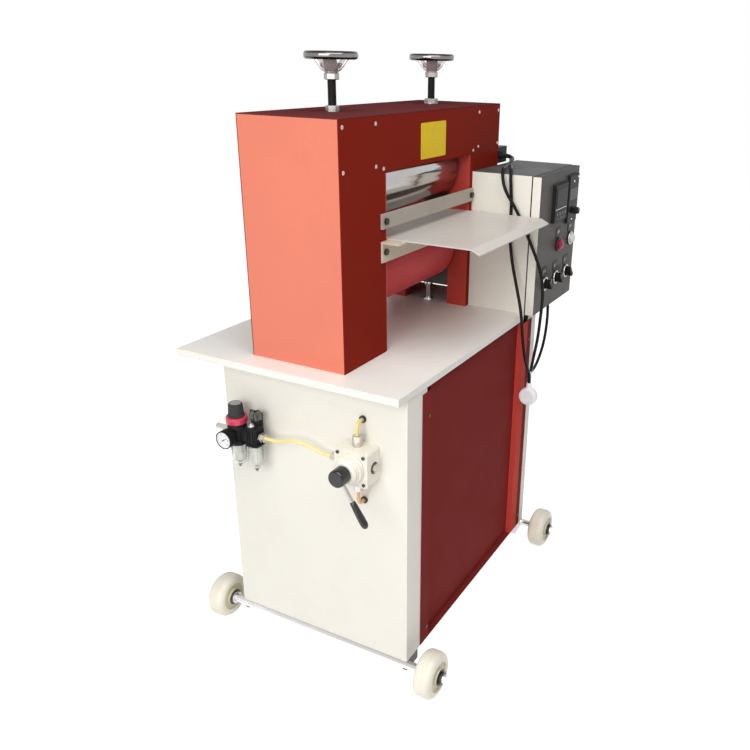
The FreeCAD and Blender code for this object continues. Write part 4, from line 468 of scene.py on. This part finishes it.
class Shape:
    """Collects the faces of one piece, in millimetres, and makes the object."""

    def __init__(self, name):
        self.name = name
        self.mesh = bmesh.new()

    def frame(self, facing):
        across, up = FACINGS[facing] if isinstance(facing, str) else facing
        return across, up, across.cross(up)

    def skin(self, rings, ends=False):
        """Faces between rings of corners, where a ring may be one point, and over both ends."""
        for first, second in zip(rings, rings[1:]):
            steps = max(len(first), len(second))
            if steps == 1:
                continue
            for index in range(steps):
                after = (index + 1) % steps
                if len(first) == 1:
                    corners = (first[0], second[index], second[after])
                elif len(second) == 1:
                    corners = (first[index], first[after], second[0])
                else:
                    corners = (first[index], first[after], second[after], second[index])
                self.mesh.faces.new(corners)
        if ends:
            self.mesh.faces.new(list(reversed(rings[0])))
            self.mesh.faces.new(rings[-1])
        return self

    def lathe(self, profile, origin, facing, steps=48, ribs=None):
        """Turns (radius, along) points about the facing; ribs = (count, depth, from, to)."""
        across, up, out = self.frame(facing)
        origin = Vector(origin)
        rings = []
        for radius, along in profile:
            centre = origin + out * along
            if radius < 1e-6:
                rings.append([self.mesh.verts.new(centre)])
                continue
            ring = []
            for index in range(steps):
                angle = 2 * math.pi * index / steps
                size = radius
                if ribs and ribs[2] <= along <= ribs[3]:
                    size = radius - ribs[1] * (0.5 - 0.5 * math.cos(ribs[0] * angle))
                way = across * math.cos(angle) + up * math.sin(angle)
                ring.append(self.mesh.verts.new(centre + way * size))
            rings.append(ring)
        return self.skin(rings)

    def plate(self, centre, facing, wide, high, thick, corner=1.0, turn=0.0, arc=5):
        """A rounded-corner plate that stands on its centre point and rises along the facing."""
        across, up, out = self.frame(facing)
        if turn:
            spin = Matrix.Rotation(math.radians(turn), 3, out)
            across, up = spin @ across, spin @ up
        corner = min(corner, wide / 2 - 1e-3, high / 2 - 1e-3)
        outline = []
        for number, (way_x, way_y) in enumerate(((1, 1), (-1, 1), (-1, -1), (1, -1))):
            for step in range(arc + 1):
                angle = math.pi / 2 * (number + step / arc)
                outline.append((way_x * (wide / 2 - corner) + corner * math.cos(angle),
                    way_y * (high / 2 - corner) + corner * math.sin(angle)))
        return self.extrude(outline, centre, (across, up), thick)

    def extrude(self, outline, centre, facing, thick):
        across, up, out = self.frame(facing)
        centre = Vector(centre)
        low = [self.mesh.verts.new(centre + across * x + up * y) for x, y in outline]
        high = [self.mesh.verts.new(centre + across * x + up * y + out * thick) for x, y in outline]
        self.mesh.faces.new(list(reversed(low)))
        self.mesh.faces.new(high)
        for index in range(len(outline)):
            after = (index + 1) % len(outline)
            self.mesh.faces.new((low[index], low[after], high[after], high[index]))
        return self

    def words(self, text, centre, facing, size, thick=0.2):
        """Short generic marks such as dial numbers, as raised faces."""
        across, up, out = self.frame(facing)
        data = bpy.data.curves.new("words", "FONT")
        data.body = text
        data.size = size
        data.align_x = "CENTER"
        data.align_y = "CENTER"
        data.extrude = thick / 2
        thing = bpy.data.objects.new("words", data)
        mesh = bpy.data.meshes.new_from_object(thing)
        turn = Matrix((across, up, out)).transposed()
        spot, lift = Vector(centre), out * (thick / 2)
        corners = [self.mesh.verts.new(turn @ vertex.co + spot + lift) for vertex in mesh.vertices]
        for polygon in mesh.polygons:
            self.mesh.faces.new([corners[index] for index in polygon.vertices])
        bpy.data.objects.remove(thing)
        bpy.data.meshes.remove(mesh)
        bpy.data.curves.remove(data)
        return self

    def sweep(self, points, radii, steps=24):
        """A tube along points, in millimetres, with a radius for each."""
        rings = []
        normal = None
        for index, point in enumerate(points):
            before, after = points[max(index - 1, 0)], points[min(index + 1, len(points) - 1)]
            along = (Vector(after) - Vector(before)).normalized()
            if normal is None:
                normal = along.orthogonal().normalized()
            normal = (normal - along * normal.dot(along)).normalized()
            side = along.cross(normal)
            ring = []
            for step in range(steps):
                angle = 2 * math.pi * step / steps
                way = normal * math.cos(angle) + side * math.sin(angle)
                ring.append(self.mesh.verts.new(Vector(point) + way * radii[index]))
            rings.append(ring)
        return self.skin(rings, ends=True)

    def done(self, look, body, slot, bevel=0.0, replaces=(), smooth=35):
        bmesh.ops.scale(self.mesh, vec=(MM, MM, MM), verts=self.mesh.verts)
        bmesh.ops.recalc_face_normals(self.mesh, faces=self.mesh.faces)
        data = bpy.data.meshes.new(self.name)
        self.mesh.to_mesh(data)
        self.mesh.free()
        data.materials.append(LOOKS[look])
        thing = bpy.data.objects.new(self.name, data)
        bpy.context.scene.collection.objects.link(thing)
        for face in data.polygons:
            face.use_smooth = True
        data.set_sharp_from_angle(angle=math.radians(smooth))
        if bevel:
            round_edges(thing, bevel * MM, 3, 35)
        if replaces:
            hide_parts(*replaces)
        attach(thing, body)
        return thing


def head_details():
    """The bare yellow plate on the head's front."""
    Shape("yellow_plate").plate((-4.5, -80.0, 1174.3), "-Y", 118.0, 76.5, 0.8, 3.0).done(
        "yellow", "root", "yellow_tube", bevel=0.25)


def gauge_details():
    """White dial with marks and numbers, pointer and glass."""
    centre = Vector((-477.35, *GAUGE))
    Shape("gauge_dial").lathe([(0, 0.35), (18.6, 0.35), (18.6, 0.0), (0, 0.0)], centre, "-X",
        64).done("dial", "root", "white_plastic")
    across, up = FACINGS["-X"]
    marks = Shape("gauge_marks")
    for index in range(31):
        angle = math.radians(225 - 270 * index / 30)
        major = index % 6 == 0
        way = across * math.cos(angle) + up * math.sin(angle)
        spot = centre + way * (15.6 if major else 16.3) + Vector((-0.35, 0, 0))
        marks.plate(spot, "-X", 3.4 if major else 2.0, 0.7 if major else 0.35, 0.12, 0.1,
            turn=math.degrees(angle), arc=1)
        if major:
            marks.words(str(index // 3), centre + way * 11.6 + Vector((-0.35, 0, 0)), "-X", 3.6,
                0.12)
    marks.done("mark_black", "root", "black_plastic")
    pointer = Shape("gauge_pointer")
    spin = Matrix.Rotation(math.radians(30), 3, across.cross(up))
    pointer.extrude([(-6.5, -0.9), (-6.5, 0.9), (0, 1.1), (13.5, 0.25), (13.5, -0.25), (0, -1.1)],
        centre + Vector((-0.9, 0, 0)), (spin @ across, spin @ up), 0.3)
    pointer.lathe([(0, 0), (2.0, 0), (2.0, 1.0), (1.4, 1.4), (0, 1.4)],
        centre + Vector((-0.35, 0, 0)), "-X", 24)
    pointer.done("mark_black", "root", "black_plastic")
    Shape("gauge_glass").lathe([(0, 0), (19.0, 0), (19.0, 0.5), (0, 0.8)],
        centre + Vector((-1.6, 0, 0)), "-X", 64).done("glass", "root", "clear_plastic")


def air_unit_details():
    """Regulator with red ring and ribbed knob, lubricator with clover knob, and clear bowls."""
    casting = Shape("regulator_casting")
    casting.plate((*REGULATOR, 547.0), "+Z", 42.4, 42.4, 6.0, 8.0)
    casting.plate((*REGULATOR, 553.0), "+Z", 37.0, 37.0, 24.0, 9.0)
    casting.lathe([(0, 0), (20.8, 0), (21.4, 1.2), (21.4, 6.4), (20.4, 8.0), (18.5, 14.0),
        (0, 14.0)], (*REGULATOR, 577.0), "+Z", 72)
    for facing, spot in (("-X", (-450.35, *GAUGE)), ("+Y", (AIR_X, 194.5, PORT_Z)),
            ("-Y", (AIR_X, 157.5, PORT_Z))):
        casting.lathe([(0, 0), (11.0, 0), (11.0, 2.2), (10.2, 3.0), (0, 3.0)], spot, facing, 40)
    casting.done("black", "root", "black_plastic", replaces=("regulator_body",))
    Shape("pressure_knob_grip").lathe([(0, -7.5), (3.0, -7.5), (3.0, 0.3), (18.2, 0.3), (18.9, 1.0),
        (18.9, 3.4), (17.2, 4.2), (15.8, 27.0), (15.3, 29.4), (13.6, 30.9), (12.8, 31.0),
        (12.4, 30.4), (0, 30.4)], (*REGULATOR, 606.2), "+Z", 144, ribs=(24, 0.9, 4.1, 28.0)).done(
        "knob", "pressure_knob", "black_plastic", replaces=("regulator_knob",), smooth=30)
    Shape("pressure_knob_top").lathe([(0, 0), (12.2, 0), (12.2, 0.3), (11.6, 0.5), (0, 0.5)],
        (*REGULATOR, 636.6), "+Z", 48).done("knob_top", "pressure_knob", "black_plastic")
    Shape("regulator_ring_grip").lathe([(18.0, 0.2), (23.0, 0.2), (23.8, 1.2), (24.0, 4.0),
        (23.4, 4.6), (23.4, 5.6), (24.0, 6.2), (24.0, 13.0), (23.2, 14.6), (19.3, 14.9),
        (18.0, 14.9), (3.2, 14.9), (3.2, 10.0), (18.0, 0.2)], (*REGULATOR, 591.0), "+Z", 96,
        ribs=(32, 0.35, 5.7, 13.5)).done("ring", "root", "red_plastic",
        replaces=("regulator_body",))
    for name, axis in (("regulator", REGULATOR), ("lubricator", LUBRICATOR)):
        Shape(f"{name}_bowl_shell").lathe([(16.6, 55.7), (17.0, 55.0), (17.0, 10.0), (16.0, 6.0),
            (13.8, 3.0), (10.2, 1.0), (5.6, 0.2), (5.2, 0.2), (5.2, 2.4), (9.4, 3.0), (12.6, 4.8),
            (14.6, 8.0), (15.2, 11.0), (15.2, 55.7), (16.6, 55.7)], (*axis, BOWL_FOOT), "+Z",
            64).done("bowl", "root", "clear_plastic", replaces=("filter_bowls",))
        Shape(f"{name}_drain").lathe([(0, -10.0), (2.4, -10.0), (2.6, -6.6), (4.2, -6.2),
            (4.8, -5.0), (4.8, -0.4), (6.0, 0.0), (6.0, 1.4), (3.0, 2.6), (0, 2.6)],
            (*axis, BOWL_FOOT), "+Z", 36, ribs=(12, 0.5, -6.3, -0.3)).done(
            "grey_plastic", "root", "grey_plastic", replaces=("filter_bowls",))
    Shape("regulator_bowl_collar").lathe([(17.05, 48.0), (18.4, 48.6), (18.4, 55.0), (17.8, 55.9),
        (17.05, 55.9), (17.05, 48.0)], (*REGULATOR, BOWL_FOOT), "+Z", 72,
        ribs=(24, 0.4, 48.5, 55.1)).done("black", "root", "black_plastic")
    Shape("filter_element").lathe([(0, 26.0), (9.0, 26.0), (9.8, 27.0), (9.8, 50.0), (8.0, 55.6),
        (0, 55.6)], (*REGULATOR, BOWL_FOOT), "+Z", 60, ribs=(20, 0.6, 26.9, 50.1)).done(
        "white", "root", "white_plastic")
    Shape("oil_siphon").lathe([(0, 6.0), (1.6, 6.0), (1.6, 40.0), (5.5, 43.0), (5.5, 55.6),
        (0, 55.6)], (*LUBRICATOR, BOWL_FOOT), "+Z", 24).done("white", "root", "white_plastic")
    head = Shape("lubricator_casting")
    head.plate((*LUBRICATOR, 551.0), "+Z", 26.0, 26.0, 36.0, 4.0)
    head.plate((*LUBRICATOR, 547.0), "+Z", 34.6, 34.6, 4.0, 9.0)
    head.plate((*LUBRICATOR, 584.0), "+Z", 30.0, 30.0, 7.0, 8.0)
    head.plate((AIR_X, 149.0, 555.0), "+Z", 25.0, 19.0, 27.0, 4.0)
    for step in (-12.6, -6.3, 6.3, 12.6):
        shift = step * 0.8
        for facing, spot in (("-X", (-444.85, 128.0 + shift, PORT_Z)),
                ("+X", (-418.85, 128.0 + shift, PORT_Z)), ("-Y", (AIR_X + shift, 115.0, PORT_Z)),
                ("+Y", (AIR_X + shift, 141.0, PORT_Z))):
            head.plate(spot, facing, 2.4, 30.0, 2.1, 0.6, arc=2)
    head.lathe([(0, 0), (10.6, 0), (11.0, 0.8), (10.8, 2.4), (8.2, 2.8), (0, 2.8)], SIGHT_GLASS,
        "+Z", 40)
    head.lathe([(0, 0), (6.0, 0), (6.0, 8.0), (5.0, 9.4), (5.0, 13.2), (0, 13.2)], OIL_SCREW, "+Z",
        32)
    head.done("black", "root", "black_plastic", replaces=("lubricator_head",))
    Shape("oil_knob").lathe([(0, 13.0), (10.4, 13.0), (13.4, 13.8), (14.0, 15.4), (14.0, 29.0),
        (13.2, 31.2), (11.0, 32.6), (8.4, 32.8), (7.6, 31.8), (7.4, 29.0), (0, 28.6)], OIL_SCREW,
        "+Z", 96, ribs=(5, 4.2, 12.5, 33.0)).done("oil_knob", "root", "black_plastic")
    outlet = Shape("outlet_nut")
    outlet.lathe([(4.4, 0), (10.0, 0), (11.4, 1.0), (11.4, 6.4), (10.0, 7.4), (4.4, 7.4), (4.4, 0)],
        (AIR_X, 111.6, PORT_Z), "-Y", 6)
    outlet.lathe([(4.4, 7.0), (8.6, 7.0), (8.6, 10.0), (7.8, 11.4), (4.4, 11.4), (4.4, 7.0)],
        (AIR_X, 111.6, PORT_Z), "-Y", 36)
    outlet.done("nut_steel", "root", "bright_steel", bevel=0.3)
    Shape("sight_dome").lathe([(0, 2.0), (7.8, 2.0), (7.9, 4.0), (7.4, 7.0), (5.6, 9.8),
        (3.0, 11.4), (0, 12.0)], SIGHT_GLASS, "+Z", 40).done("bowl", "root", "clear_plastic",
        replaces=("lubricator_head",))
    Shape("sight_drip").lathe([(0, 0), (3.4, 0), (3.4, 1.4), (1.2, 2.2), (1.0, 6.4), (0, 7.0)],
        (*SIGHT_GLASS[:2], 593.6), "+Z", 24).done("white", "root", "white_plastic")


def valve_details():
    """Socket screws and rings on the valve, and the lever's glossy hub, steel rod and grip."""
    screws = Shape("valve_screws")
    for y in (VALVE[0] - 31.0, VALVE[0] + 31.0):
        for z in (VALVE[1] - 31.0, VALVE[1] + 31.0):
            screws.lathe([(0, 0.0), (3.6, 0.0), (3.8, 0.3), (3.8, 2.6), (3.4, 3.0), (2.0, 3.0),
                (1.9, 1.4), (0, 1.4)], (-443.85, y, z), "-X", 24)
    screws.done("iron", "root", "bright_steel")
    ring = Shape("valve_turret_rings")
    ring.lathe([(26.9, 0), (28.2, 0.5), (28.2, 2.2), (26.9, 2.8), (26.9, 0)], (-457.5, *VALVE),
        "-X", 72)
    ring.lathe([(31.8, 0), (33.0, 0.5), (33.0, 3.4), (31.8, 4.0), (31.8, 0)], (-445.0, *VALVE),
        "-X", 72)
    ring.done("valve", "root", "cream_paint")
    Shape("valve_port_ring").lathe([(9.8, 0), (12.4, 0), (13.0, 0.6), (12.4, 1.6), (9.8, 1.6),
        (9.8, 0)], (-417.85, -172.0, VALVE[1]), "-Y", 40).done("iron", "root", "bright_steel")
    hub = Shape("lever_hub_and_grip")
    hub.lathe([(0, -26.0), (3.0, -26.0), (3.0, 0.0), (17.4, 0.0), (18.8, 1.2), (19.0, 3.0),
        (19.0, 23.6), (18.4, 26.6), (16.8, 28.6), (15.4, 29.0), (14.8, 28.5), (0, 28.5)],
        (-471.15, *VALVE), "-X", 72)
    tilt = math.radians(32)
    along = Vector((0, -math.sin(tilt), -math.cos(tilt)))
    root = Vector((-486.15, *VALVE))
    stations = ((56.6, 3.0), (56.8, 5.2), (58.0, 6.0), (64.0, 6.6), (78.0, 7.3), (95.0, 7.9),
        (106.0, 8.0), (111.0, 7.7), (115.0, 6.4), (117.6, 4.2), (119.0, 1.6))
    hub.sweep([root + along * reach for reach, radius in stations],
        [radius for reach, radius in stations], 36)
    hub.done("lever_black", "lever", "black_plastic", replaces=("valve_lever",))
    rod = Shape("lever_rod")
    stations = ((9.5, 4.4), (20.0, 4.4), (22.0, 4.1), (58.0, 4.1))
    rod.sweep([root + along * reach for reach, radius in stations],
        [radius for reach, radius in stations], 28)
    rod.done("lever_steel", "lever", "bright_steel", replaces=("valve_lever",))


def spoke_outline(shape, place, angle, steps=28):
    """One dished spoke: oval sections, broad at the hub, that rise to the rim."""
    out = Vector((math.cos(math.radians(angle)), math.sin(math.radians(angle)), 0))
    across = Vector((-out.y, out.x, 0))
    stations = ((8.0, 1317.0, 13.5, 5.4), (15.0, 1320.0, 14.2, 5.0), (21.0, 1326.0, 14.6, 4.6),
        (26.0, 1332.5, 14.2, 4.2), (31.0, 1337.5, 13.8, 4.0), (37.5, 1341.5, 13.6, 4.0),
        (44.0, 1343.5, 14.0, 4.2))
    rings = []
    for index, (reach, height, wide, thick) in enumerate(stations):
        before, after = stations[max(index - 1, 0)], stations[min(index + 1, len(stations) - 1)]
        slope = (out * (after[0] - before[0]) + Vector((0, 0, after[1] - before[1]))).normalized()
        normal = slope.cross(across)
        centre = Vector((*place, height)) + out * reach
        ring = []
        for step in range(steps):
            turn = 2 * math.pi * step / steps
            spot = centre + across * wide * math.cos(turn) + normal * thick * math.sin(turn)
            ring.append(shape.mesh.verts.new(spot))
        rings.append(ring)
    shape.skin(rings, ends=True)


def thread_outline(shape, place, foot, top, radius, depth, pitch, steps=36):
    """A screw with a real thread: the groove runs round it as it climbs."""
    count = int((top - foot) / (pitch / 4))
    rings = []
    for level in range(count + 1):
        height = foot + (top - foot) * level / count
        ring = []
        for step in range(steps):
            angle = 2 * math.pi * step / steps
            wave = ((height / pitch) - step / steps) % 1.0
            size = radius - depth * abs(2 * wave - 1)
            ring.append(shape.mesh.verts.new((place[0] + size * math.cos(angle),
                place[1] + size * math.sin(angle), height)))
        rings.append(ring)
    shape.skin(rings, ends=True)


def handwheel_details():
    """Each handwheel: rim, three dished spokes and hub, lock nut, and threaded gap screw."""
    for side, x in SCREW_X.items():
        place, node_name, body = (x, SCREW_Y), f"{side}_handwheel", f"{side}_gap_screw"
        Shape(f"{side}_wheel_rim").lathe([(41.0, 0.0), (41.5, -3.6), (43.4, -6.4), (46.2, -7.8),
            (49.8, -7.8), (52.8, -6.2), (54.6, -3.4), (55.0, 0.0), (54.6, 3.4), (52.8, 6.2),
            (49.8, 7.8), (46.2, 7.8), (43.4, 6.4), (41.5, 3.6), (41.0, 0.0)], (*place, 1345.0),
            "+Z", 96).done("rim_chrome_painted_dark_reflection", body, "chrome", replaces=(node_name,), smooth=50)
        centre = Shape(f"{side}_wheel_hub")
        for angle in (90, 210, 330):
            spoke_outline(centre, place, angle)
        centre.lathe([(8.0, 0.4), (13.0, 0.4), (14.0, 1.4), (14.4, 6.0), (15.8, 9.6), (19.0, 14.0),
            (21.6, 18.2), (21.0, 19.6), (15.6, 19.8), (10.0, 20.0), (8.0, 20.0), (8.0, 0.4)],
            (*place, 1312.0), "+Z", 64)
        centre.done("hub_chrome", body, "chrome", replaces=(node_name,), smooth=40)
        Shape(f"{side}_lock_nut").lathe([(8.0, 0.0), (13.8, 0.0), (15.4, 1.3), (15.4, 11.7),
            (13.8, 13.0), (8.0, 13.0), (8.0, 0.0)], (*place, 1299.2), "+Z", 6).done(
            "nut_steel", body, "bright_steel", bevel=0.4, replaces=(node_name,))
        screw = Shape(f"{side}_gap_screw_thread")
        thread_outline(screw, place, 1135.0, 1332.0, 9.0, 0.8, 4.0)
        screw.done("screw_black", body, "black_steel", replaces=(node_name,), smooth=50)


def gap_nut_details():
    """The hex nuts on the head, the right one on its washer, and the necks below them."""
    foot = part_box("gap_nuts")[0].z / MM
    top = 1238.0
    nuts = Shape("gap_nut_hexes")
    for side, corner, washer in (("left", 14.2, 0.0), ("right", 17.0, 3.6)):
        place = (SCREW_X[side], SCREW_Y, top)
        nuts.lathe([(9.4, foot - top), (11.6, foot - top), (11.6, 0.1), (9.4, 0.1),
            (9.4, foot - top)], place, "+Z", 40)
        nuts.lathe([(9.4, 0.0), (corner, 0.0), (corner, 11.4), (corner - 1.9, 12.9), (9.4, 12.9),
            (9.4, 0.0)], place, "+Z", 6)
        if washer:
            nuts.lathe([(9.4, 0.0), (17.0, 0.0), (17.0, washer - 0.8), (15.6, washer),
                (9.4, washer), (9.4, 0.0)], place, "+Z", 56)
    nuts.done("nut_steel", "root", "bright_steel", bevel=0.35, replaces=("gap_nuts",))


def door_details():
    """Screen, keys, scale, knobs' marks, screws and label marks on the control box's door."""
    x, z = 341.15, 1005.0
    face = -272.6
    Shape("temperature_frame").plate((x, face, z), "-Y", 92.0, 92.0, 1.4, 4.0).done(
        "gloss_black", "door", "black_plastic", bevel=0.5)
    Shape("temperature_screen").plate((x + 1, face - 1.4, z + 14.0), "-Y", 78.0, 46.0, 0.9,
        2.0).done("screen", "door", "black_plastic", bevel=0.3)
    Shape("temperature_rule").plate((x, face - 1.4, z - 14.5), "-Y", 80.0, 1.8, 0.6, 0.5).done(
        "steel", "door", "bright_steel", bevel=0.2)
    keys = Shape("temperature_keys")
    for column in range(4):
        keys.plate((x - 29 + column * 19.4, face - 1.4, z - 27.0), "-Y", 14.0, 9.0, 1.6, 2.5)
    for column in range(3):
        keys.plate((x - 19.4 + column * 19.4, face - 1.4, z - 38.5), "-Y", 14.0, 5.0, 0.8, 2.0)
    keys.done("key_grey", "door", "grey_plastic", bevel=0.5)
    lamps = Shape("temperature_lamps")
    for row in range(3):
        lamps.lathe([(0, 0.0), (1.5, 0.0), (1.5, 0.5), (1.0, 1.0), (0, 1.2)],
            (x - 33.0, face - 2.3, z + 26 - row * 12), "-Y", 20)
    lamps.done("key_grey", "door", "grey_plastic")
    x, z = 443.15, 1002.0
    face = -270.6
    Shape("speed_front").plate((x, face, z), "-Y", 72.0, 120.0, 1.0, 3.0).done(
        "gloss_black", "door", "black_plastic", bevel=0.4)
    Shape("speed_label").plate((x, face - 1.0, z + 12.0), "-Y", 60.0, 30.0, 0.5, 1.5).done(
        "key_grey", "door", "grey_plastic", bevel=0.15)
    Shape("speed_lamp").lathe([(0, 0), (2.8, 0), (2.8, 1.0), (2.2, 2.0), (0, 2.6)],
        (x - 4, face - 1.0, z + 45.0), "-Y", 24).done("mark", "door", "white_plastic")
    scale = Shape("speed_scale")
    knob_x, knob_z = 457.15, 968.0
    for index in range(11):
        angle = math.radians(225 - 27 * index)
        scale.plate((knob_x + 14.6 * math.cos(angle), face - 1.0, knob_z + 14.6 * math.sin(angle)),
            "-Y", 2.6, 0.6, 0.15, 0.1, turn=math.degrees(angle), arc=1)
        if index % 5 == 0:
            scale.words(str(index), (knob_x + 18.2 * math.cos(angle), face - 1.0,
                knob_z + 18.2 * math.sin(angle)), "-Y", 4.2, 0.15)
    scale.done("mark", "door", "white_plastic")
    Shape("speed_knob_grip").lathe([(0, -13.0), (3.0, -13.0), (3.0, 0.4), (11.0, 0.4), (11.0, 2.0),
        (9.6, 2.6), (8.8, 12.4), (8.2, 13.6), (0, 13.8)], (knob_x, face - 0.6, knob_z), "-Y", 96,
        ribs=(24, 0.5, 2.5, 12.5)).done("black", "speed_dial", "black_plastic",
        replaces=("speed_knob",))
    Shape("speed_knob_mark").plate((knob_x, face - 14.2, knob_z + 4.4), "-Y", 1.2, 6.4, 0.35,
        0.3).done("mark", "speed_dial", "white_plastic")
    screws = Shape("door_screws")
    for spot in ((x - 4.0, face - 1.0, z - 55.0), (x + 30.0, face - 1.0, z + 54.0)):
        screws.lathe([(0, 0), (2.8, 0), (2.6, 1.1), (0, 1.5)], spot, "-Y", 24)
    screws.done("steel", "door", "bright_steel")
    marks = Shape("tag_marks")
    tags = [(x, BUTTON_Z, text) for x, text in zip(BUTTON_X, ("OFF", "ON"))]
    tags += [(x, SELECTOR_Z, "0  1") for x in SELECTOR_X]
    for tag_x, control_z, text in tags:
        marks.words(text, (tag_x, -266.1, control_z + 32.0), "-Y", 11.0, 0.15)
    marks.done("mark", "door", "white_plastic")
    for index, (selector_x, side) in enumerate(zip(SELECTOR_X, ("left", "middle", "right")), 1):
        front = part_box(f"selector_{index}")[0].y / MM
        Shape(f"selector_{index}_mark").plate((selector_x, front, SELECTOR_Z + 9.5), "-Y", 1.6, 9.0,
            0.3, 0.4).done("mark", f"{side}_selector", "white_plastic")


def wheel_details():
    """Bearing seals on both faces of every wheel."""
    for end, side in (("front", "left"), ("front", "right"), ("back", "left"), ("back", "right")):
        low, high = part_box(f"wheel_{end}_{side}")
        x = (low[0] + high[0]) / 2 / MM
        seals = Shape(f"wheel_{end}_{side}_seals")
        for y, facing in ((low[1] / MM, "-Y"), (high[1] / MM, "+Y")):
            seals.lathe([(12.2, 0.0), (12.2, 0.25), (14.0, 0.25), (14.4, 0.0), (15.0, 0.0),
                (15.6, 0.28), (19.4, 0.28), (20.2, 0.0), (20.4, -0.4), (12.2, -0.4), (12.2, 0.0)],
                (x, y, WHEEL_Z), facing, 64)
        seals.done("iron", f"{end}_{side}_wheel", "black_plastic")


def cord_points(thing):
    """Points of a cord's own spline in millimetres, read without its thickness."""
    bare = thing.data.copy()
    bare.bevel_depth = 0
    stand_in = bpy.data.objects.new("bare", bare)
    mesh = bpy.data.meshes.new_from_object(stand_in)
    points = [vertex.co / MM for vertex in mesh.vertices]
    bpy.data.objects.remove(stand_in)
    bpy.data.curves.remove(bare)
    bpy.data.meshes.remove(mesh)
    return points


def strain_relief(name, thing, long, wide, slim):
    """A ribbed tapered sleeve along a cord's first stretch."""
    points = cord_points(thing)
    spots, radii, gone = [], [], 0.0
    fine = [points[0]]
    for first, second in zip(points, points[1:]):
        for step in range(1, 7):
            fine.append(first.lerp(second, step / 6))
    for first, second in zip(fine, fine[1:]):
        share = gone / long
        groove = 0.7 if 0.12 < share < 0.9 and math.sin(gone * 2 * math.pi / 4.0) > 0.2 else 0.0
        spots.append(first)
        radii.append(wide + (slim - wide) * share - groove)
        gone += (second - first).length
        if gone > long:
            break
    return Shape(name).sweep(spots, radii).done("black", "root", "black_plastic", smooth=25)


def plug_details():
    """The round white plug: a rounded puck with a face rim, a ribbed neck and two pins."""
    body = Shape("plug_body")
    body.lathe([(0, 10.2), (14.0, 10.2), (15.0, 11.0), (20.6, 11.0), (23.0, 10.0), (24.0, 7.6),
        (24.0, -7.6), (23.0, -10.0), (20.6, -11.0), (0, -11.0)], PLUG, "-X", 72)
    body.lathe([(0, 20.0), (8.6, 20.0), (8.4, 24.5), (7.6, 25.0), (7.6, 26.0), (8.0, 26.4),
        (7.8, 29.5), (7.1, 30.0), (7.1, 31.0), (7.4, 31.4), (7.2, 34.0), (6.5, 34.6), (6.5, 37.6),
        (6.0, 38.0), (0, 38.0)], PLUG, "+Z", 40)
    puck = body.done("plug_white", "root", "white_plastic", replaces=("mains_plug",))
    pins = Shape("plug_pins")
    for y in (PLUG[1] - 9.5, PLUG[1] + 9.5):
        pins.lathe([(0, 0), (2.4, 0), (2.4, 16.6), (1.6, 17.8), (0, 18.0)], (216.15, y, PLUG[2]),
            "+X", 24)
    return [puck, pins.done("steel", "root", "bright_steel", replaces=("mains_plug",))]


# ---- light and backdrop

SKY_LIGHT = 0.20  # what the surround gives as light; it is seen at 1.0
FLOOR_GLOW = 0.80


def area_light(name, place, aim, size, power):
    data = bpy.data.lights.new(name, "AREA")
    data.shape = "RECTANGLE"
    data.size, data.size_y = size
    data.energy = power
    lamp = bpy.data.objects.new(name, data)
    bpy.context.scene.collection.objects.link(lamp)
    lamp.location = place
    lamp.rotation_euler = (Vector(aim) - Vector(place)).to_track_quat("-Z", "Y").to_euler()


def seen_rays(graph):
    """One for rays of the camera, of reflections and through glass."""
    rays = graph.node("LightPath").outputs
    reflected = graph.math("MAXIMUM", rays["Is Camera Ray"], rays["Is Glossy Ray"])
    return graph.math("MAXIMUM", reflected, rays["Is Transmission Ray"])


def studio():
    """White floor and surround where they are seen, weak soft light, and a key light at left."""
    scene = bpy.context.scene
    scene.view_settings.view_transform = "Standard"
    sky = Graph(bpy.data.worlds.new("studio"))
    scene.world = sky.owner
    strength = sky.span(seen_rays(sky), SKY_LIGHT, 1.0, 0.0, 1.0)
    sky.fill(sky.tree.nodes["Background"], {"Color": (1, 1, 1), "Strength": strength})
    mesh = bpy.data.meshes.new("floor")
    mesh.from_pydata([(-9, -9, 0), (9, -9, 0), (9, 9, 0), (-9, 9, 0)], [], [(0, 1, 2, 3)])
    floor = bpy.data.objects.new("floor", mesh)
    scene.collection.objects.link(floor)
    graph = Graph(bpy.data.materials.new("pale_floor"))
    drift = graph.span(graph.noise(graph.place(), 0.8), 0.0, 1.0)
    graph.shade({"Base Color": graph.blend(drift, (0.88, 0.88, 0.88), (0.91, 0.91, 0.91)),
        "Roughness": 0.9, "Specular IOR Level": 0.1, "Emission Color": (1, 1, 1),
        "Emission Strength": graph.math("MULTIPLY", seen_rays(graph), FLOOR_GLOW)})
    mesh.materials.append(graph.owner)
    area_light("key_left", (-3.0, -0.25, 1.7), (0, 0.0, 0.75), (2.2, 2.0), 56)
    area_light("top_soft", (-0.9, -0.9, 3.1), (0, 0, 0.75), (2.6, 2.6), 60)


def main():
    photo_camera()
    dress_nodes()
    plug = plug_details()
    mains = cord("mains_lead", MAINS_ROUTE, 4 * MM, "mains_cord")
    heater = cord("heater_lead", HEATER_ROUTE, 4 * MM, "heater_cable")
    strain_relief("mains_strain_relief", mains, 34.0, 7.4, 4.9)
    strain_relief("heater_strain_relief", heater, 24.0, 6.8, 4.9)
    head_details()
    gauge_details()
    air_unit_details()
    valve_details()
    door_details()
    wheel_details()
    handwheel_details()
    gap_nut_details()
    studio()


main()
